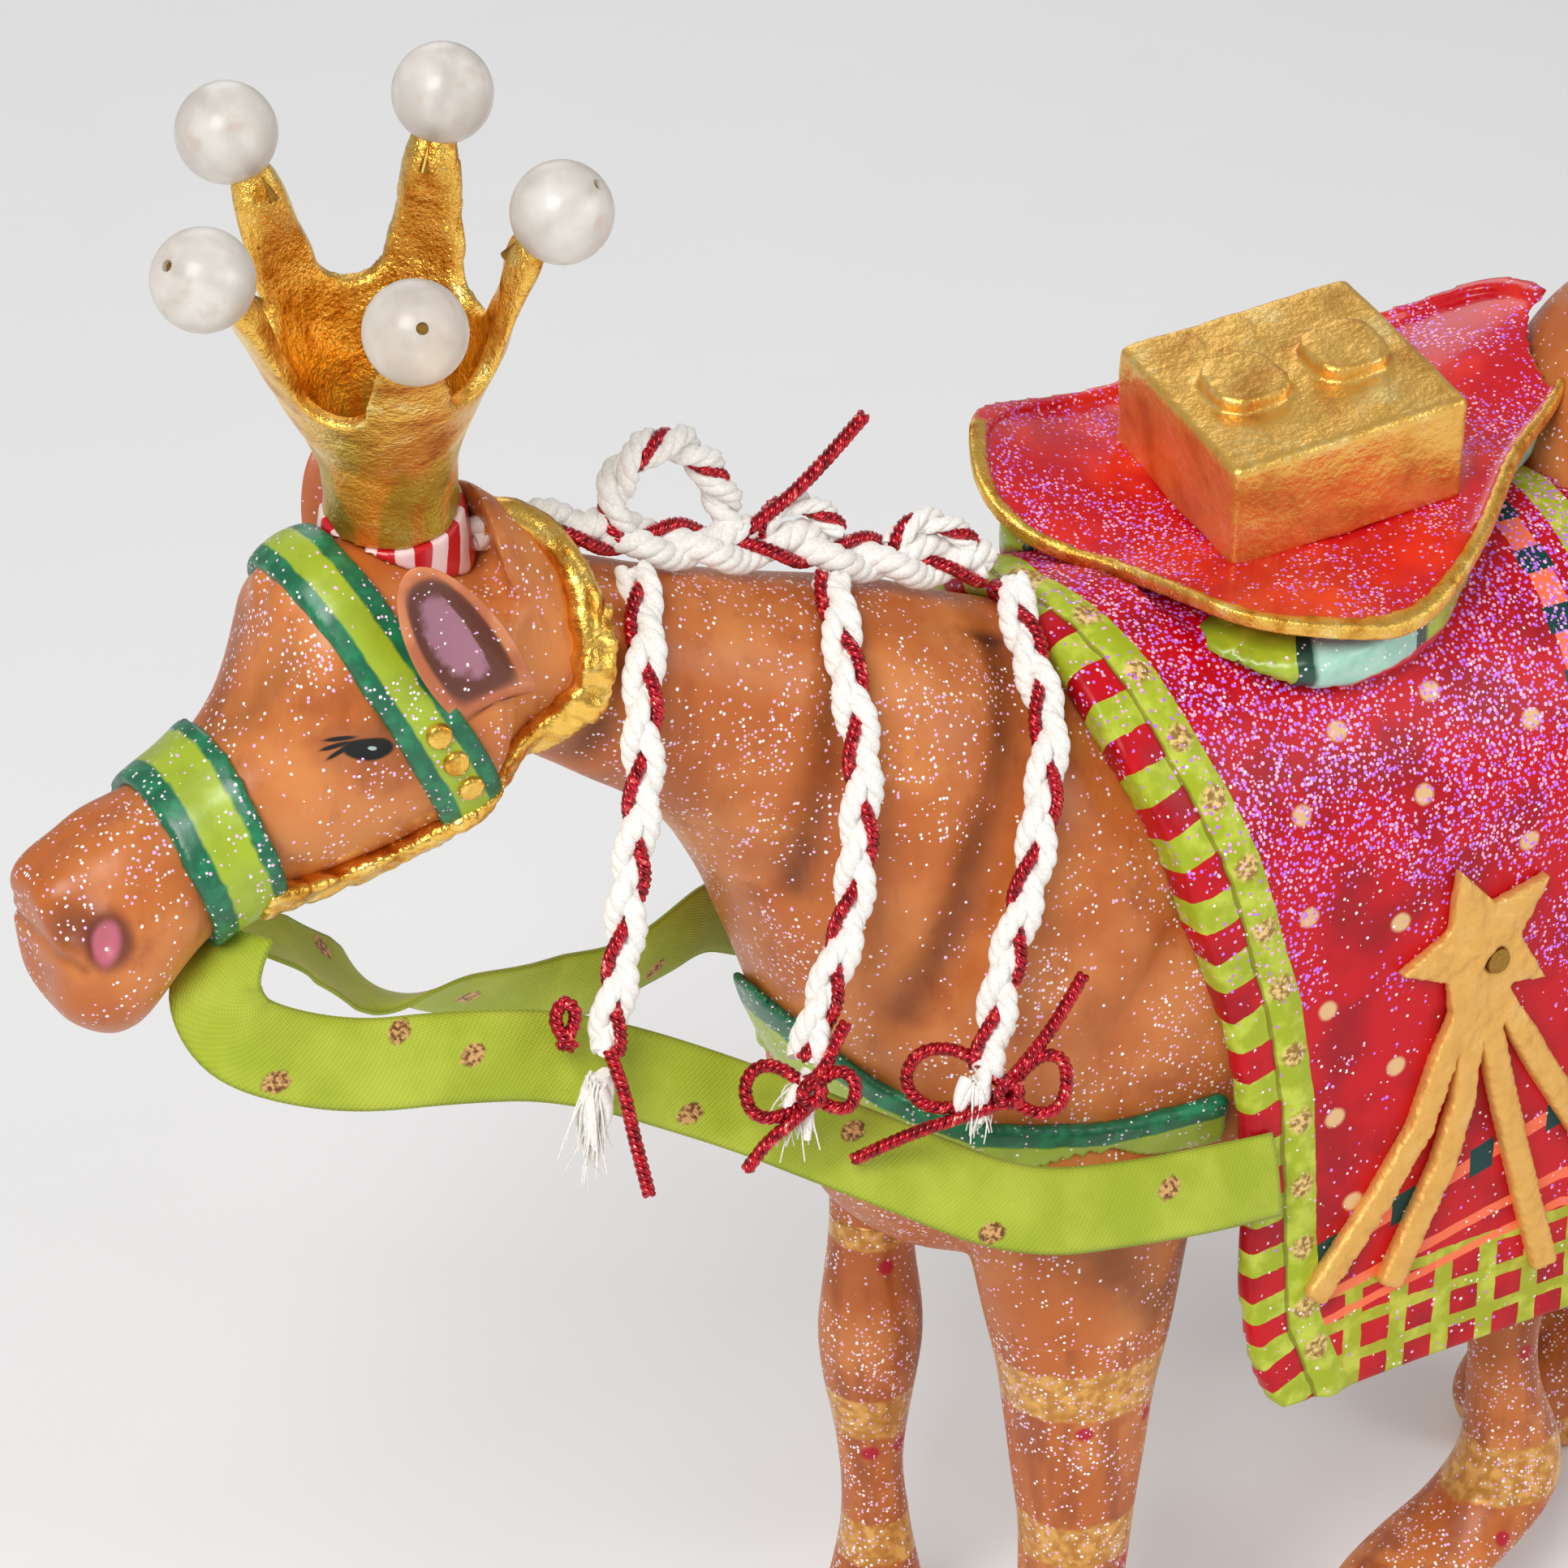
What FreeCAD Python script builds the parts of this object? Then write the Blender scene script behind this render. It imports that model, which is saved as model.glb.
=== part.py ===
import FreeCAD, Part
import math
import os

V = FreeCAD.Vector

# A caparisoned, crowned horse figure in painted casting resin.
# +X runs from nose to tail, +Y to the animal's right side, +Z up; the soles stand on Z = 0.

# ---------------------------------------------------------------- driving sizes, mm
torso_half_width = 26.5
torso_half_height = 39.0
torso_height = 108.0          # height of the barrel's middle above the soles
hump_rise = 30.5
neck_half_width = 20.5
head_half_width = 12.4
hind_hoof = (11.5, 9.0, 13.0)  # half length, half width, height
fore_hoof = (8.6, 7.4, 8.5)
leg_core_radius = 0.9
core_clearance = 0.1
dowel_radius = 2.0
tail_radius = 4.2

blanket_thickness = 3.0
blanket_hem_height = 54.0
blanket_front = 6.0
blanket_back = 92.0

saddle_half_length = 38.5
saddle_half_width = 25.5
saddle_floor = 1.8
saddle_rim_rise = 1.6
saddle_rim_width = 2.0
saddle_height = 156.0
pad_margin = 3.5
casket_length = 29.4
casket_width = 26.6
casket_height = 13.6
casket_yaw = -4.5             # degrees about the saddle's upright
boss_length = 8.8
boss_height = 1.9
boss_spacing = 12.8

crown_base_radius = 6.9
crown_rim_radius = 15.2
crown_height = 34.5
crown_wall = 1.7
crown_valley = 21.0
crown_floor = 4.0
crown_points = 5
band_height = 7.0
band_radius = 7.7
bead_radius = 5.0
bead_circle_radius = 18.2
bead_height = 38.8
bead_hole_radius = 0.6
bead_pin_radius = 0.5

strap_thickness = 1.1
noseband_width = 8.0
browband_width = 6.5
chest_strap_width = 6.0
trim_thickness = 1.6
trim_width = 3.0
stud_radius = 1.1
stud_height = 0.7
star_radius = 11.6
star_thickness = 1.4
star_pin_radius = 1.5

braid_diameter = 4.5
rein_width = 9.5
rein_thickness = 0.6

os.makedirs("parts", exist_ok=True)


def save(name, shape):
    shape.exportStep("parts/" + name + ".step")


def oval(centre, half_width, half_height, pitch=0.0):
    """A closed oval across the body's length; pitch tips its top towards the tail."""
    lean = math.radians(pitch)
    up = V(math.sin(lean), 0, math.cos(lean))
    steps = [math.radians(30 * k) for k in range(12)]
    points = [
        V(*centre) + up * (half_height * math.cos(a)) + V(0, half_width * math.sin(a), 0)
        for a in steps
    ]
    curve = Part.BSplineCurve()
    curve.interpolate(Points=points, PeriodicFlag=True)
    return Part.Wire([curve.toShape()])


def oval_between(top, bottom, half_width, extra=0.0):
    """An oval that spans from a top point to a bottom point, both given as (x, z)."""
    middle = ((top[0] + bottom[0]) / 2, 0, (top[1] + bottom[1]) / 2)
    run, rise = top[0] - bottom[0], top[1] - bottom[1]
    half_height = math.hypot(run, rise) / 2
    pitch = math.degrees(math.atan2(run, rise))
    return oval(middle, half_width + extra, half_height + extra, pitch)


def loft(wires):
    return Part.makeLoft(wires, True, False)


def level_oval(x, y, z, half_length, half_width):
    points = [
        V(x + half_length * math.cos(a), y + half_width * math.sin(a), z)
        for a in [math.radians(30 * k) for k in range(12)]
    ]
    curve = Part.BSplineCurve()
    curve.interpolate(Points=points, PeriodicFlag=True)
    return Part.Wire([curve.toShape()])


def ellipsoid(centre, sizes):
    ball = Part.makeSphere(1.0)
    grow = FreeCAD.Matrix()
    grow.scale(V(*sizes))
    return ball.transformGeometry(grow).translated(V(*centre))


def frame_on(origin, up, ahead):
    """A placement whose Z is up and whose X lies as near to ahead as it can."""
    z = V(*up).normalize()
    x = (V(*ahead) - z * V(*ahead).dot(z)).normalize()
    y = z.cross(x)
    m = FreeCAD.Matrix(x.x, y.x, z.x, origin[0], x.y, y.y, z.y, origin[1],
                       x.z, y.z, z.z, origin[2], 0, 0, 0, 1)
    return FreeCAD.Placement(m)


def placed(shape, placement):
    moved = shape.copy()
    moved.Placement = placement.multiply(moved.Placement)
    return moved


# ---------------------------------------------------------------- torso and neck
def torso(extra=0.0):
    w, h = torso_half_width, torso_half_height
    stations = [
        # x, drop of the middle, share of half width, share of half height
        (-28, -11, 0.34, 0.24),
        (-24, -9, 0.58, 0.51),
        (-14, -6, 0.79, 0.77),
        (0, -2, 0.92, 0.95),
        (25, 0, 1.0, 1.0),
        (65, 1, 1.0, 1.01),
        (92, 3, 0.90, 0.92),
        (103, 4, 0.70, 0.69),
        (108, 5, 0.42, 0.38),
        (110, 5, 0.19, 0.15),
    ]
    return loft([
        oval((x, 0, torso_height + dz), w * a + extra, h * b + extra)
        for x, dz, a, b in stations
    ])


def neck(extra=0.0):
    n = neck_half_width
    stations = [
        # (x, z) of the crest, (x, z) of the throat, half width
        ((-64, 171), (-66, 150), 0.44 * n),
        ((-57, 168), (-62, 146.5), 0.51 * n),
        ((-46, 164), (-51.6, 139.6), 0.56 * n),
        ((-33, 160), (-44.2, 131.4), 0.66 * n),
        ((-20, 156), (-38.6, 120.5), 0.83 * n),
        ((-6, 150.5), (-33.9, 108.5), n),
        ((8, 146), (-29.7, 99), 1.12 * n),
        ((22, 143), (-24, 84), 1.19 * n),
    ]
    return loft([oval_between(*s, extra=extra) for s in stations])


def hump():
    return ellipsoid((92, 0, 143), (26, 0.8 * torso_half_width, hump_rise))


body = torso().fuse(neck()).fuse(hump()).removeSplitter()


# ---------------------------------------------------------------- head
def head(extra=0.0):
    """The head from cheeks to muzzle; extra swells it evenly, for what lies on it."""
    w = head_half_width
    stations = [
        ((-60, 171), (-66, 150), 0.74 * w),
        ((-67, 172), (-73, 144.5), 0.97 * w),
        ((-79, 174.5), (-80, 142), w),
        ((-90.5, 173.5), (-87, 140.5), 0.92 * w),
        ((-94, 165), (-92, 140), 0.84 * w),
        ((-99.5, 157.5), (-98, 138.5), 0.74 * w),
        ((-104.5, 154.5), (-103, 136), 0.73 * w),
        ((-109.5, 152), (-108, 131), 0.78 * w),
        ((-115.5, 149.5), (-113, 128.8), 0.74 * w),
        ((-119, 145), (-117.5, 133), 0.42 * w),
    ]
    return loft([oval_between(*s, extra=extra) for s in stations])


head_solid = head()
neck_dowel_start, neck_dowel_end = V(-78, 0, 159), V(-46, 0, 150)


def rod(start, end, radius):
    return Part.makeCylinder(radius, (end - start).Length, start, end - start)


head_dowel = rod(neck_dowel_start, neck_dowel_end, dowel_radius)
dowel_hole = rod(neck_dowel_start, neck_dowel_end, dowel_radius + core_clearance)
head_casting = head_solid.cut(body)


# ---------------------------------------------------------------- legs
def leg(x, y, stations, foot_shift, hoof):
    """A leg of level ovals from the body down to the pastern, standing on its hoof."""
    rings = [level_oval(x + dx, y, z, a, b) for dx, z, a, b in stations]
    ankle = stations[-1]
    fx = x + foot_shift
    half_length, half_width, height = hoof
    rings.append(level_oval(fx + 1.5, y, height, 0.82 * half_length, 0.84 * half_width))
    rings.append(level_oval(fx, y, 0.0, half_length, half_width))
    return loft(rings), V(x + ankle[0], y, ankle[1])


leg_plans = {
    "foreleg_left": (-1.5, -16.0, [
        (0, 104, 13, 6.5), (0, 88, 15, 8), (0, 72, 13, 9.5), (0, 60, 10, 8.8),
        (0, 48, 8.0, 7.6), (0, 34, 6.6, 6.4), (-0.5, 20, 6.2, 6.2)], -2.0, fore_hoof),
    "foreleg_right": (-11.0, 14.0, [
        (6, 104, 11, 6.5), (3, 88, 10, 7.5), (1, 74, 6.5, 6.0), (0, 62, 5.4, 5.2),
        (0, 51, 6.5, 6.2), (0, 40, 5.0, 4.8), (1.0, 20, 4.7, 4.7)], -1.0, fore_hoof),
    "hindleg_left": (63.0, -15.0, [
        (10, 104, 15, 7.5), (8, 88, 14.5, 8.5), (5, 74, 11, 8), (3, 60, 7, 6.2),
        (1, 48, 4.8, 4.6), (0, 36, 4.6, 4.5), (1.5, 21, 7.4, 6.6)], -9.0, hind_hoof),
    "hindleg_right": (104.0, 15.0, [
        (-14, 104, 15, 7.5), (-11, 88, 14.0, 8.5), (-5, 74, 10, 8), (-1, 60, 7, 6.2),
        (0, 48, 4.8, 4.6), (1, 36, 4.6, 4.5), (2, 21, 7.2, 6.4)], -7.0, hind_hoof),
}

legs, leg_cores, core_holes = {}, [], []
for name, (x, y, stations, foot_shift, hoof) in leg_plans.items():
    solid, ankle = leg(x, y, stations, foot_shift, hoof)
    top = V(x + stations[2][0], y * 0.9, 86)
    leg_cores.append(rod(ankle, top, leg_core_radius))
    hole = rod(ankle, top, leg_core_radius + core_clearance)
    core_holes.append(hole)
    legs[name] = solid.cut(body).cut(hole)

torso_casting = body.cut(dowel_hole)
for hole in core_holes:
    torso_casting = torso_casting.cut(hole)


# ---------------------------------------------------------------- tail
def tail():
    path = [(100, 131), (110.0, 127), (116.0, 112), (116.5, 96), (115, 80), (114.5, 70)]
    radii = [3.2, tail_radius, tail_radius, 4.0, 3.6, 1.6]
    rings = []
    for i, ((x, z), r) in enumerate(zip(path, radii)):
        before, after = path[max(i - 1, 0)], path[min(i + 1, len(path) - 1)]
        lean = math.degrees(math.atan2(after[1] - before[1], after[0] - before[0]))
        rings.append(oval((x, 0, z), r, r * 1.001, -lean))
    return loft(rings)


tail_casting = tail().cut(body)


# ---------------------------------------------------------------- ears
def ear(side):
    outer = ellipsoid((0, 0, 8.5), (4.6, 2.1, 9.5))
    hollow = ellipsoid((-0.6, -1.9, 9.0), (2.6, 1.5, 6.5))
    leaf = outer.cut(hollow)
    if side > 0:
        leaf = leaf.mirror(V(0, 0, 0), V(0, 1, 0))
    seat = frame_on((-74.5, side * 11.0, 163.0), (-0.20, side * 0.10, 0.97), (0.92, 0, 0.2))
    return placed(leaf, seat).cut(head_solid).cut(body).cut(band)


# ---------------------------------------------------------------- crown
crown_frame = frame_on((-76.4, 1.7, 177.6), (-0.175, -0.30, 0.945), (1, 0, 0))


def crown_profile(inset, low, high):
    """Radius of the cup at a few heights; inset moves inwards from the outer face."""
    grow = crown_rim_radius - crown_base_radius
    shares = [(0.0, 0.0), (0.28, 0.08), (0.52, 0.44), (0.72, 0.74), (1.0, 1.0)]
    points = [
        V(crown_base_radius + grow * s - inset, 0, crown_height * t)
        for t, s in shares
        if low <= crown_height * t <= high
    ]
    return points


def revolved(points):
    curve = Part.BSplineCurve()
    curve.interpolate(Points=points)
    bottom, top = points[0], points[-1]
    edges = [
        curve.toShape(),
        Part.LineSegment(top, V(0, 0, top.z)).toShape(),
        Part.LineSegment(V(0, 0, top.z), V(0, 0, bottom.z)).toShape(),
        Part.LineSegment(V(0, 0, bottom.z), bottom).toShape(),
    ]
    return Part.Face(Part.Wire(edges)).revolve(V(0, 0, 0), V(0, 0, 1), 360)


def crown():
    outer = revolved(crown_profile(0.0, 0.0, crown_height))
    inner_points = crown_profile(crown_wall, 1.0, crown_height)
    mouth = inner_points[-1] + V(crown_rim_radius * 0.04, 0, 2.0)
    floor_point = V(inner_points[0].x - 0.6, 0, crown_floor)
    inner = revolved([floor_point] + inner_points + [mouth])
    cup = outer.cut(inner)
    valley_radius = 3.8
    tip_half = 1.5
    gap_half = crown_rim_radius * math.sin(math.pi / crown_points) - tip_half
    low, top = crown_valley + valley_radius, crown_height + 0.5
    left = [V(0, -valley_radius, low), V(0, -gap_half, top), V(0, -gap_half, top + 6)]
    right = [V(0, -p.y, p.z) for p in left]
    edges = [
        Part.Arc(left[0], V(0, 0, crown_valley), right[0]).toShape(),
        Part.LineSegment(right[0], right[1]).toShape(),
        Part.LineSegment(right[1], right[2]).toShape(),
        Part.LineSegment(right[2], left[2]).toShape(),
        Part.LineSegment(left[2], left[1]).toShape(),
        Part.LineSegment(left[1], left[0]).toShape(),
    ]
    notch = Part.Face(Part.Wire(edges)).extrude(V(crown_rim_radius * 2, 0, 0))
    for k in range(crown_points):
        turn = point_angle(k) + 180.0 / crown_points
        cup = cup.cut(notch.rotated(V(0, 0, 0), V(0, 0, 1), turn))
    return cup


def point_angle(k):
    """Angle of each crown point about the crown's axis, in degrees."""
    return crown_front_angle + 360.0 * k / crown_points


crown_front_angle = -102.9
pin_lean = math.radians(45)


def bead_centre(k):
    a = math.radians(point_angle(k))
    return V(bead_circle_radius * math.cos(a), bead_circle_radius * math.sin(a), bead_height)


def pin_line(k):
    a = math.radians(point_angle(k))
    return V(math.cos(pin_lean) * math.cos(a), math.cos(pin_lean) * math.sin(a), math.sin(pin_lean))


pin_reach_in = 3.0
bead_pins, pin_holes, beads = [], [], []
for k in range(crown_points):
    c, d = bead_centre(k), pin_line(k)
    outer_end = c + d * (bead_radius - 0.5)
    inner_end = c - d * (bead_radius + pin_reach_in)
    bead_pins.append(rod(inner_end, outer_end, bead_pin_radius))
    pin_holes.append(rod(inner_end, c + d * (bead_radius + 1), bead_hole_radius))
    beads.append(Part.makeSphere(bead_radius, c).cut(pin_holes[-1]))

crown_cup = crown()
for hole, bead in zip(pin_holes, beads):
    crown_cup = crown_cup.cut(hole).cut(Part.makeSphere(bead_radius, bead.BoundBox.Center))
crown_dowel_low = -14.0
crown_dowel = Part.makeCylinder(dowel_radius, crown_floor - 1 - crown_dowel_low, V(0, 0, crown_dowel_low))
crown_dowel_hole = Part.makeCylinder(
    dowel_radius + core_clearance, crown_floor - 1 - crown_dowel_low, V(0, 0, crown_dowel_low))
crown_cup = crown_cup.cut(crown_dowel_hole)
band = Part.makeCone(band_radius + 0.6, crown_base_radius + 0.4, band_height, V(0, 0, -band_height))
band = placed(band.cut(crown_dowel_hole), crown_frame).cut(head_solid).cut(body)
head_casting = head_casting.cut(placed(crown_dowel_hole, crown_frame)).cut(dowel_hole)


# ---------------------------------------------------------------- straps laid on the castings
def side_band(points, breadth):
    """A curtain across the whole body that follows a line drawn on its side view."""
    pieces = []
    for (x0, z0), (x1, z1) in zip(points, points[1:]):
        run, rise = x1 - x0, z1 - z0
        span = math.hypot(run, rise)
        nx, nz = -rise / span * breadth / 2, run / span * breadth / 2
        corners = [V(x0 + nx, -40, z0 + nz), V(x1 + nx, -40, z1 + nz),
                   V(x1 - nx, -40, z1 - nz), V(x0 - nx, -40, z0 - nz)]
        outline = Part.makePolygon(corners + corners[:1])
        pieces.append(Part.Face(outline).extrude(V(0, 80, 0)))
    for x, z in points[1:-1]:
        pieces.append(Part.makeCylinder(breadth / 2, 80, V(x, -40, z), V(0, 1, 0)))
    return pieces[0].fuse(pieces[1:])


castings = head_solid.fuse(body)


def laid_on(curtain, skin):
    return curtain.common(skin).cut(castings)


head_strap_skin = head(strap_thickness)
trim_skin = head(trim_thickness).fuse(neck(trim_thickness))
chest_skin = torso(strap_thickness).fuse(neck(strap_thickness))
noseband = laid_on(side_band([(-104.0, 162), (-101.5, 150), (-95.0, 132)], noseband_width), head_strap_skin)
browband_line = [(-90.0, 180), (-83.0, 165), (-73.5, 146)]
browband = laid_on(side_band(browband_line, browband_width), head_strap_skin)
halter_line = [(-97, 142), (-88, 141.5), (-80, 143.5), (-72, 148.5), (-66, 152.5), (-61, 158), (-58.5, 166)]
halter_trim = laid_on(side_band(halter_line, trim_width), trim_skin)
halter_trim = halter_trim.cut(head_strap_skin.common(side_band(browband_line, browband_width)))
halter_trim = halter_trim.cut(noseband)
chest_line = [(-44, 122), (-38, 109), (-29, 100), (-19, 95), (-4, 92.5), (13, 92.5)]
chest_strap = laid_on(side_band(chest_line, chest_strap_width), chest_skin)

studs = []
for x, z in ((-75.2, 152.6), (-77.0, 156.0), (-78.7, 159.4)):
    for side in (-1, 1):
        stud = Part.makeCylinder(stud_radius, 30, V(x, 0, z), V(0, side, 0))
        stud = stud.common(head(strap_thickness + stud_height)).cut(head_strap_skin)
        studs.append(stud)


# ---------------------------------------------------------------- blanket
def blanket_block():
    """The outer form: upright sides with a half-oval back, along the whole blanket."""
    half = torso_half_width + 0.2 + blanket_thickness
    spring = torso_height + 12.0
    crown_z = torso_height + torso_half_height + blanket_thickness + 2.0
    x = blanket_front - 16.0
    arch = Part.BSplineCurve()
    turns = [math.radians(15 * k) for k in range(13)]
    arch.interpolate(Points=[
        V(x, half * math.cos(a), spring + (crown_z - spring) * math.sin(a)) for a in turns])
    low_right, low_left = V(x, half, blanket_hem_height), V(x, -half, blanket_hem_height)
    edges = [
        arch.toShape(),
        Part.LineSegment(V(x, -half, spring), low_left).toShape(),
        Part.LineSegment(low_left, low_right).toShape(),
        Part.LineSegment(low_right, V(x, half, spring)).toShape(),
    ]
    return Part.Face(Part.Wire(edges)).extrude(V(blanket_back - x + 6, 0, 0))


def blanket_outline():
    """Side view of the blanket, as a slab across the whole width."""
    f, b, hem = blanket_front, blanket_back, blanket_hem_height
    front = [V(f + 12, -60, hem - 1), V(f + 7.5, -60, hem + 10), V(f + 5, -60, hem + 40),
             V(f - 1, -60, hem + 63), V(f - 8, -60, hem + 84), V(f - 10.5, -60, hem + 94),
             V(f - 7, -60, hem + 104)]
    rear = [V(b - 4, -60, hem + 104), V(b, -60, hem + 90), V(b + 3, -60, hem + 60),
            V(b + 2, -60, hem + 30), V(b - 2, -60, hem - 1)]
    edges = []
    for points in (front, rear):
        curve = Part.BSplineCurve()
        curve.interpolate(Points=points)
        edges.append(curve.toShape())
    edges.insert(1, Part.LineSegment(front[-1], rear[0]).toShape())
    edges.append(Part.LineSegment(rear[-1], front[0]).toShape())
    return Part.Face(Part.Wire(edges)).extrude(V(0, 120, 0))


blanket_full = blanket_block().common(blanket_outline())
inner_half = torso_half_width + 0.2
under = Part.makeBox(200, 2 * inner_half, torso_height, V(-50, -inner_half, 0))
saddle_blanket = blanket_full.cut(body).cut(under)
for solid in legs.values():
    saddle_blanket = saddle_blanket.cut(solid)
chest_strap = chest_strap.cut(blanket_full)
for solid in legs.values():
    chest_strap = chest_strap.cut(solid)


# ---------------------------------------------------------------- saddle and casket
saddle_frame = frame_on((36.4, 1.8, saddle_height), (-0.14, -0.19, 0.972), (1, 0, 0))
# corners of the wavy outline as shares of the half length and half width
saddle_shares = [(-0.9, 0.5), (-0.62, 0.93), (0.0, 0.87), (0.68, 0.75), (1.06, 0.62), (1.07, 0.12),
                 (0.65, -0.41), (0.2, -0.96), (-0.24, -1.15), (-0.6, -0.86), (-0.73, -0.16)]


def saddle_block(inset, low, high):
    """A slab with the dish's wavy outline, inset evenly, in the saddle's own frame."""
    a, b = saddle_half_length - inset, saddle_half_width - inset
    curve = Part.BSplineCurve()
    curve.interpolate(Points=[V(a * u, b * v, low) for u, v in saddle_shares], PeriodicFlag=True)
    return Part.Face(Part.Wire([curve.toShape()])).extrude(V(0, 0, high - low))


dish = saddle_block(0.0, -saddle_floor, saddle_rim_rise)
recess = saddle_block(saddle_rim_width, 0.0, saddle_rim_rise + 1)
saddle_dish = placed(dish.cut(recess), saddle_frame).cut(hump())
pad_depth = 34.0
pad = placed(saddle_block(pad_margin, -saddle_floor - pad_depth, -saddle_floor), saddle_frame)
pad = pad.cut(blanket_full).cut(body)
saddle_pad = max(pad.Solids, key=lambda s: s.CenterOfMass.z)
saddle_blanket = saddle_blanket.cut(placed(dish, saddle_frame))

casket_frame = saddle_frame.multiply(
    FreeCAD.Placement(V(-0.4, 0.4, 0), FreeCAD.Rotation(V(0, 0, 1), casket_yaw)))
casket = Part.makeBox(casket_length, casket_width, casket_height, V(-casket_length / 2, -casket_width / 2, 0))
gift_casket = placed(casket.makeFillet(0.8, casket.Edges), casket_frame)
bosses = []
for side in (-1, 1):
    boss = Part.makeBox(boss_length, boss_length, boss_height,
                        V((side * boss_spacing - boss_length) / 2, -boss_length / 2 - 0.3, casket_height))
    uprights = [e for e in boss.Edges if abs(e.tangentAt(e.FirstParameter).z) > 0.9]
    bosses.append(placed(boss.makeFillet(boss_length * 0.34, uprights), casket_frame))


# ---------------------------------------------------------------- stars on the blanket
star_x, star_z = 41.6, 108.6
comet_tails = [((-1.5, -5), (-7.1, -21.6), (-12.7, -29.8), (-20.8, -39.7)),
               ((-0.5, -5), (-1.1, -19.5), (-3.3, -27.4), (-10.1, -41.3)),
               ((0.8, -5), (3.7, -17), (9.9, -37), (13, -46)),
               ((2, -4.5), (10, -18), (20, -33), (30, -43))]
comet_width = 2.6


def star(side):
    tips = []
    for k in range(10):
        a = math.radians(110 + 36 * k)
        r = star_radius if k % 2 == 0 else star_radius * 0.48
        tips.append(V(star_x + r * math.cos(a), 0, star_z + r * math.sin(a)))
    blade = Part.Face(Part.makePolygon(tips + tips[:1])).extrude(V(0, side * 60, 0))
    for tail_line in comet_tails:
        points = [(star_x + dx, star_z + dz) for dx, dz in tail_line]
        ribbon = side_band(points, comet_width)
        blade = blade.fuse(ribbon.common(Part.makeBox(200, 60, 200, V(-50, min(0, side * 60), 0))))
    lift = FreeCAD.Matrix()
    lift.move(V(0, side * star_thickness, 0))
    reach = blanket_full.transformGeometry(lift)
    return blade.common(reach).cut(blanket_full)


stars = {"star_left": star(-1), "star_right": star(1)}
side_face = torso_half_width + 0.2 + blanket_thickness
star_pins = []
for side, name in ((-1, "star_left"), (1, "star_right")):
    pin = rod(V(star_x + 1.8, side * (side_face - 2), star_z - 1.8),
              V(star_x + 1.8, side * (side_face + star_thickness + 0.8), star_z - 1.8), star_pin_radius)
    stars[name] = stars[name].cut(pin)
    saddle_blanket = saddle_blanket.cut(pin)
    star_pins.append(pin)


# ---------------------------------------------------------------- soft cords
def path_of(points, label, diameter):
    """Straight runs joined by tangent arcs, each as large as its two runs allow."""
    points = [V(*p) for p in points]
    edges, radii, start = [], [], points[0]
    for before, here, after in zip(points, points[1:], points[2:]):
        a, b = (before - here), (after - here)
        la, lb = a.Length, b.Length
        a.normalize()
        b.normalize()
        turn = math.pi - a.getAngle(b)
        reach = 0.45 * min(la, lb)
        radii.append(reach / math.tan(turn / 2))
        p, q = here + a * reach, here + b * reach
        inner = (a + b).normalize()
        centre_gap = radii[-1] / math.cos(turn / 2)
        middle = here + inner * (centre_gap - radii[-1])
        edges.append(Part.LineSegment(start, p).toShape())
        edges.append(Part.Arc(p, middle, q).toShape())
        start = q
    edges.append(Part.LineSegment(start, points[-1]).toShape())
    print(label, "radii in diameters", [round(r / diameter, 1) for r in radii])
    return Part.Wire(edges)


def tube(points, diameter, label):
    path = path_of(points, label, diameter)
    start = path.Edges[0]
    ring = Part.Wire([Part.Circle(V(*points[0]), start.tangentAt(start.FirstParameter), diameter / 2).toShape()])
    solid = path.makePipeShell([ring], True, False)
    ideal = math.pi * diameter ** 2 / 4 * path.Length
    print(label, "length", round(path.Length, 1), "volume ratio", round(solid.Volume / ideal, 3), solid.isValid())
    return solid


def ribbon(stations, width, thickness):
    """A flat ribbon through centre points, its width rising towards lean at each one."""
    rings = []
    for i, (point, lean) in enumerate(stations):
        before = V(*stations[max(i - 1, 0)][0])
        after = V(*stations[min(i + 1, len(stations) - 1)][0])
        along = (after - before).normalize()
        side = V(*lean)
        side = (side - along * side.dot(along)).normalize() * (width / 2)
        out = along.cross(side).normalize() * (thickness / 2)
        c = V(*point)
        corners = [c + side + out, c + side - out, c - side - out, c - side + out]
        rings.append(Part.makePolygon(corners + corners[:1]))
    return Part.makeLoft(rings, True, False)


head_and_band = head_solid.fuse(band)
neck_side = body.fuse(blanket_full)
mane_braid = tube([(-68, 0, 174.5), (-48, -1, 167.9), (-27, -1, 162.4), (-7, -1.4, 155.4)],
                  braid_diameter, "mane_braid")
mane_braid = mane_braid.cut(body).cut(head_and_band).cut(blanket_full)
mane_braid = max(mane_braid.Solids, key=lambda s: s.Volume)
braid_lines = {
    "braid_1": [(-51.5, -4, 166.5), (-55.2, -12.3, 161.5), (-57.5, -15.3, 148), (-60.5, -16.8, 134),
                (-64, -18.5, 120.6)],
    "braid_2": [(-28.6, -4, 160.5), (-31.4, -13.2, 155), (-32.9, -18.8, 142), (-35.4, -20.6, 129),
                (-43, -23.5, 115.8)],
    "braid_3": [(-6.4, -5, 155), (-8.4, -16, 147), (-12.2, -22.4, 138), (-18.3, -25.8, 125),
                (-23.2, -27.5, 110.6)],
}
braids = {}
for name, points in braid_lines.items():
    soft = tube(points, braid_diameter, name).cut(mane_braid).cut(neck_side)
    braids[name] = max(soft.Solids, key=lambda s: s.Volume)
bow_half = (5.6, 1.9, 3.4)
bows = []
for centre, braid in (((-43.4, -24.6, 111.8), "braid_2"), ((-22.6, -28.6, 107.2), "braid_3")):
    bows.append(ellipsoid(centre, bow_half).cut(braids[braid]))
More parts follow.
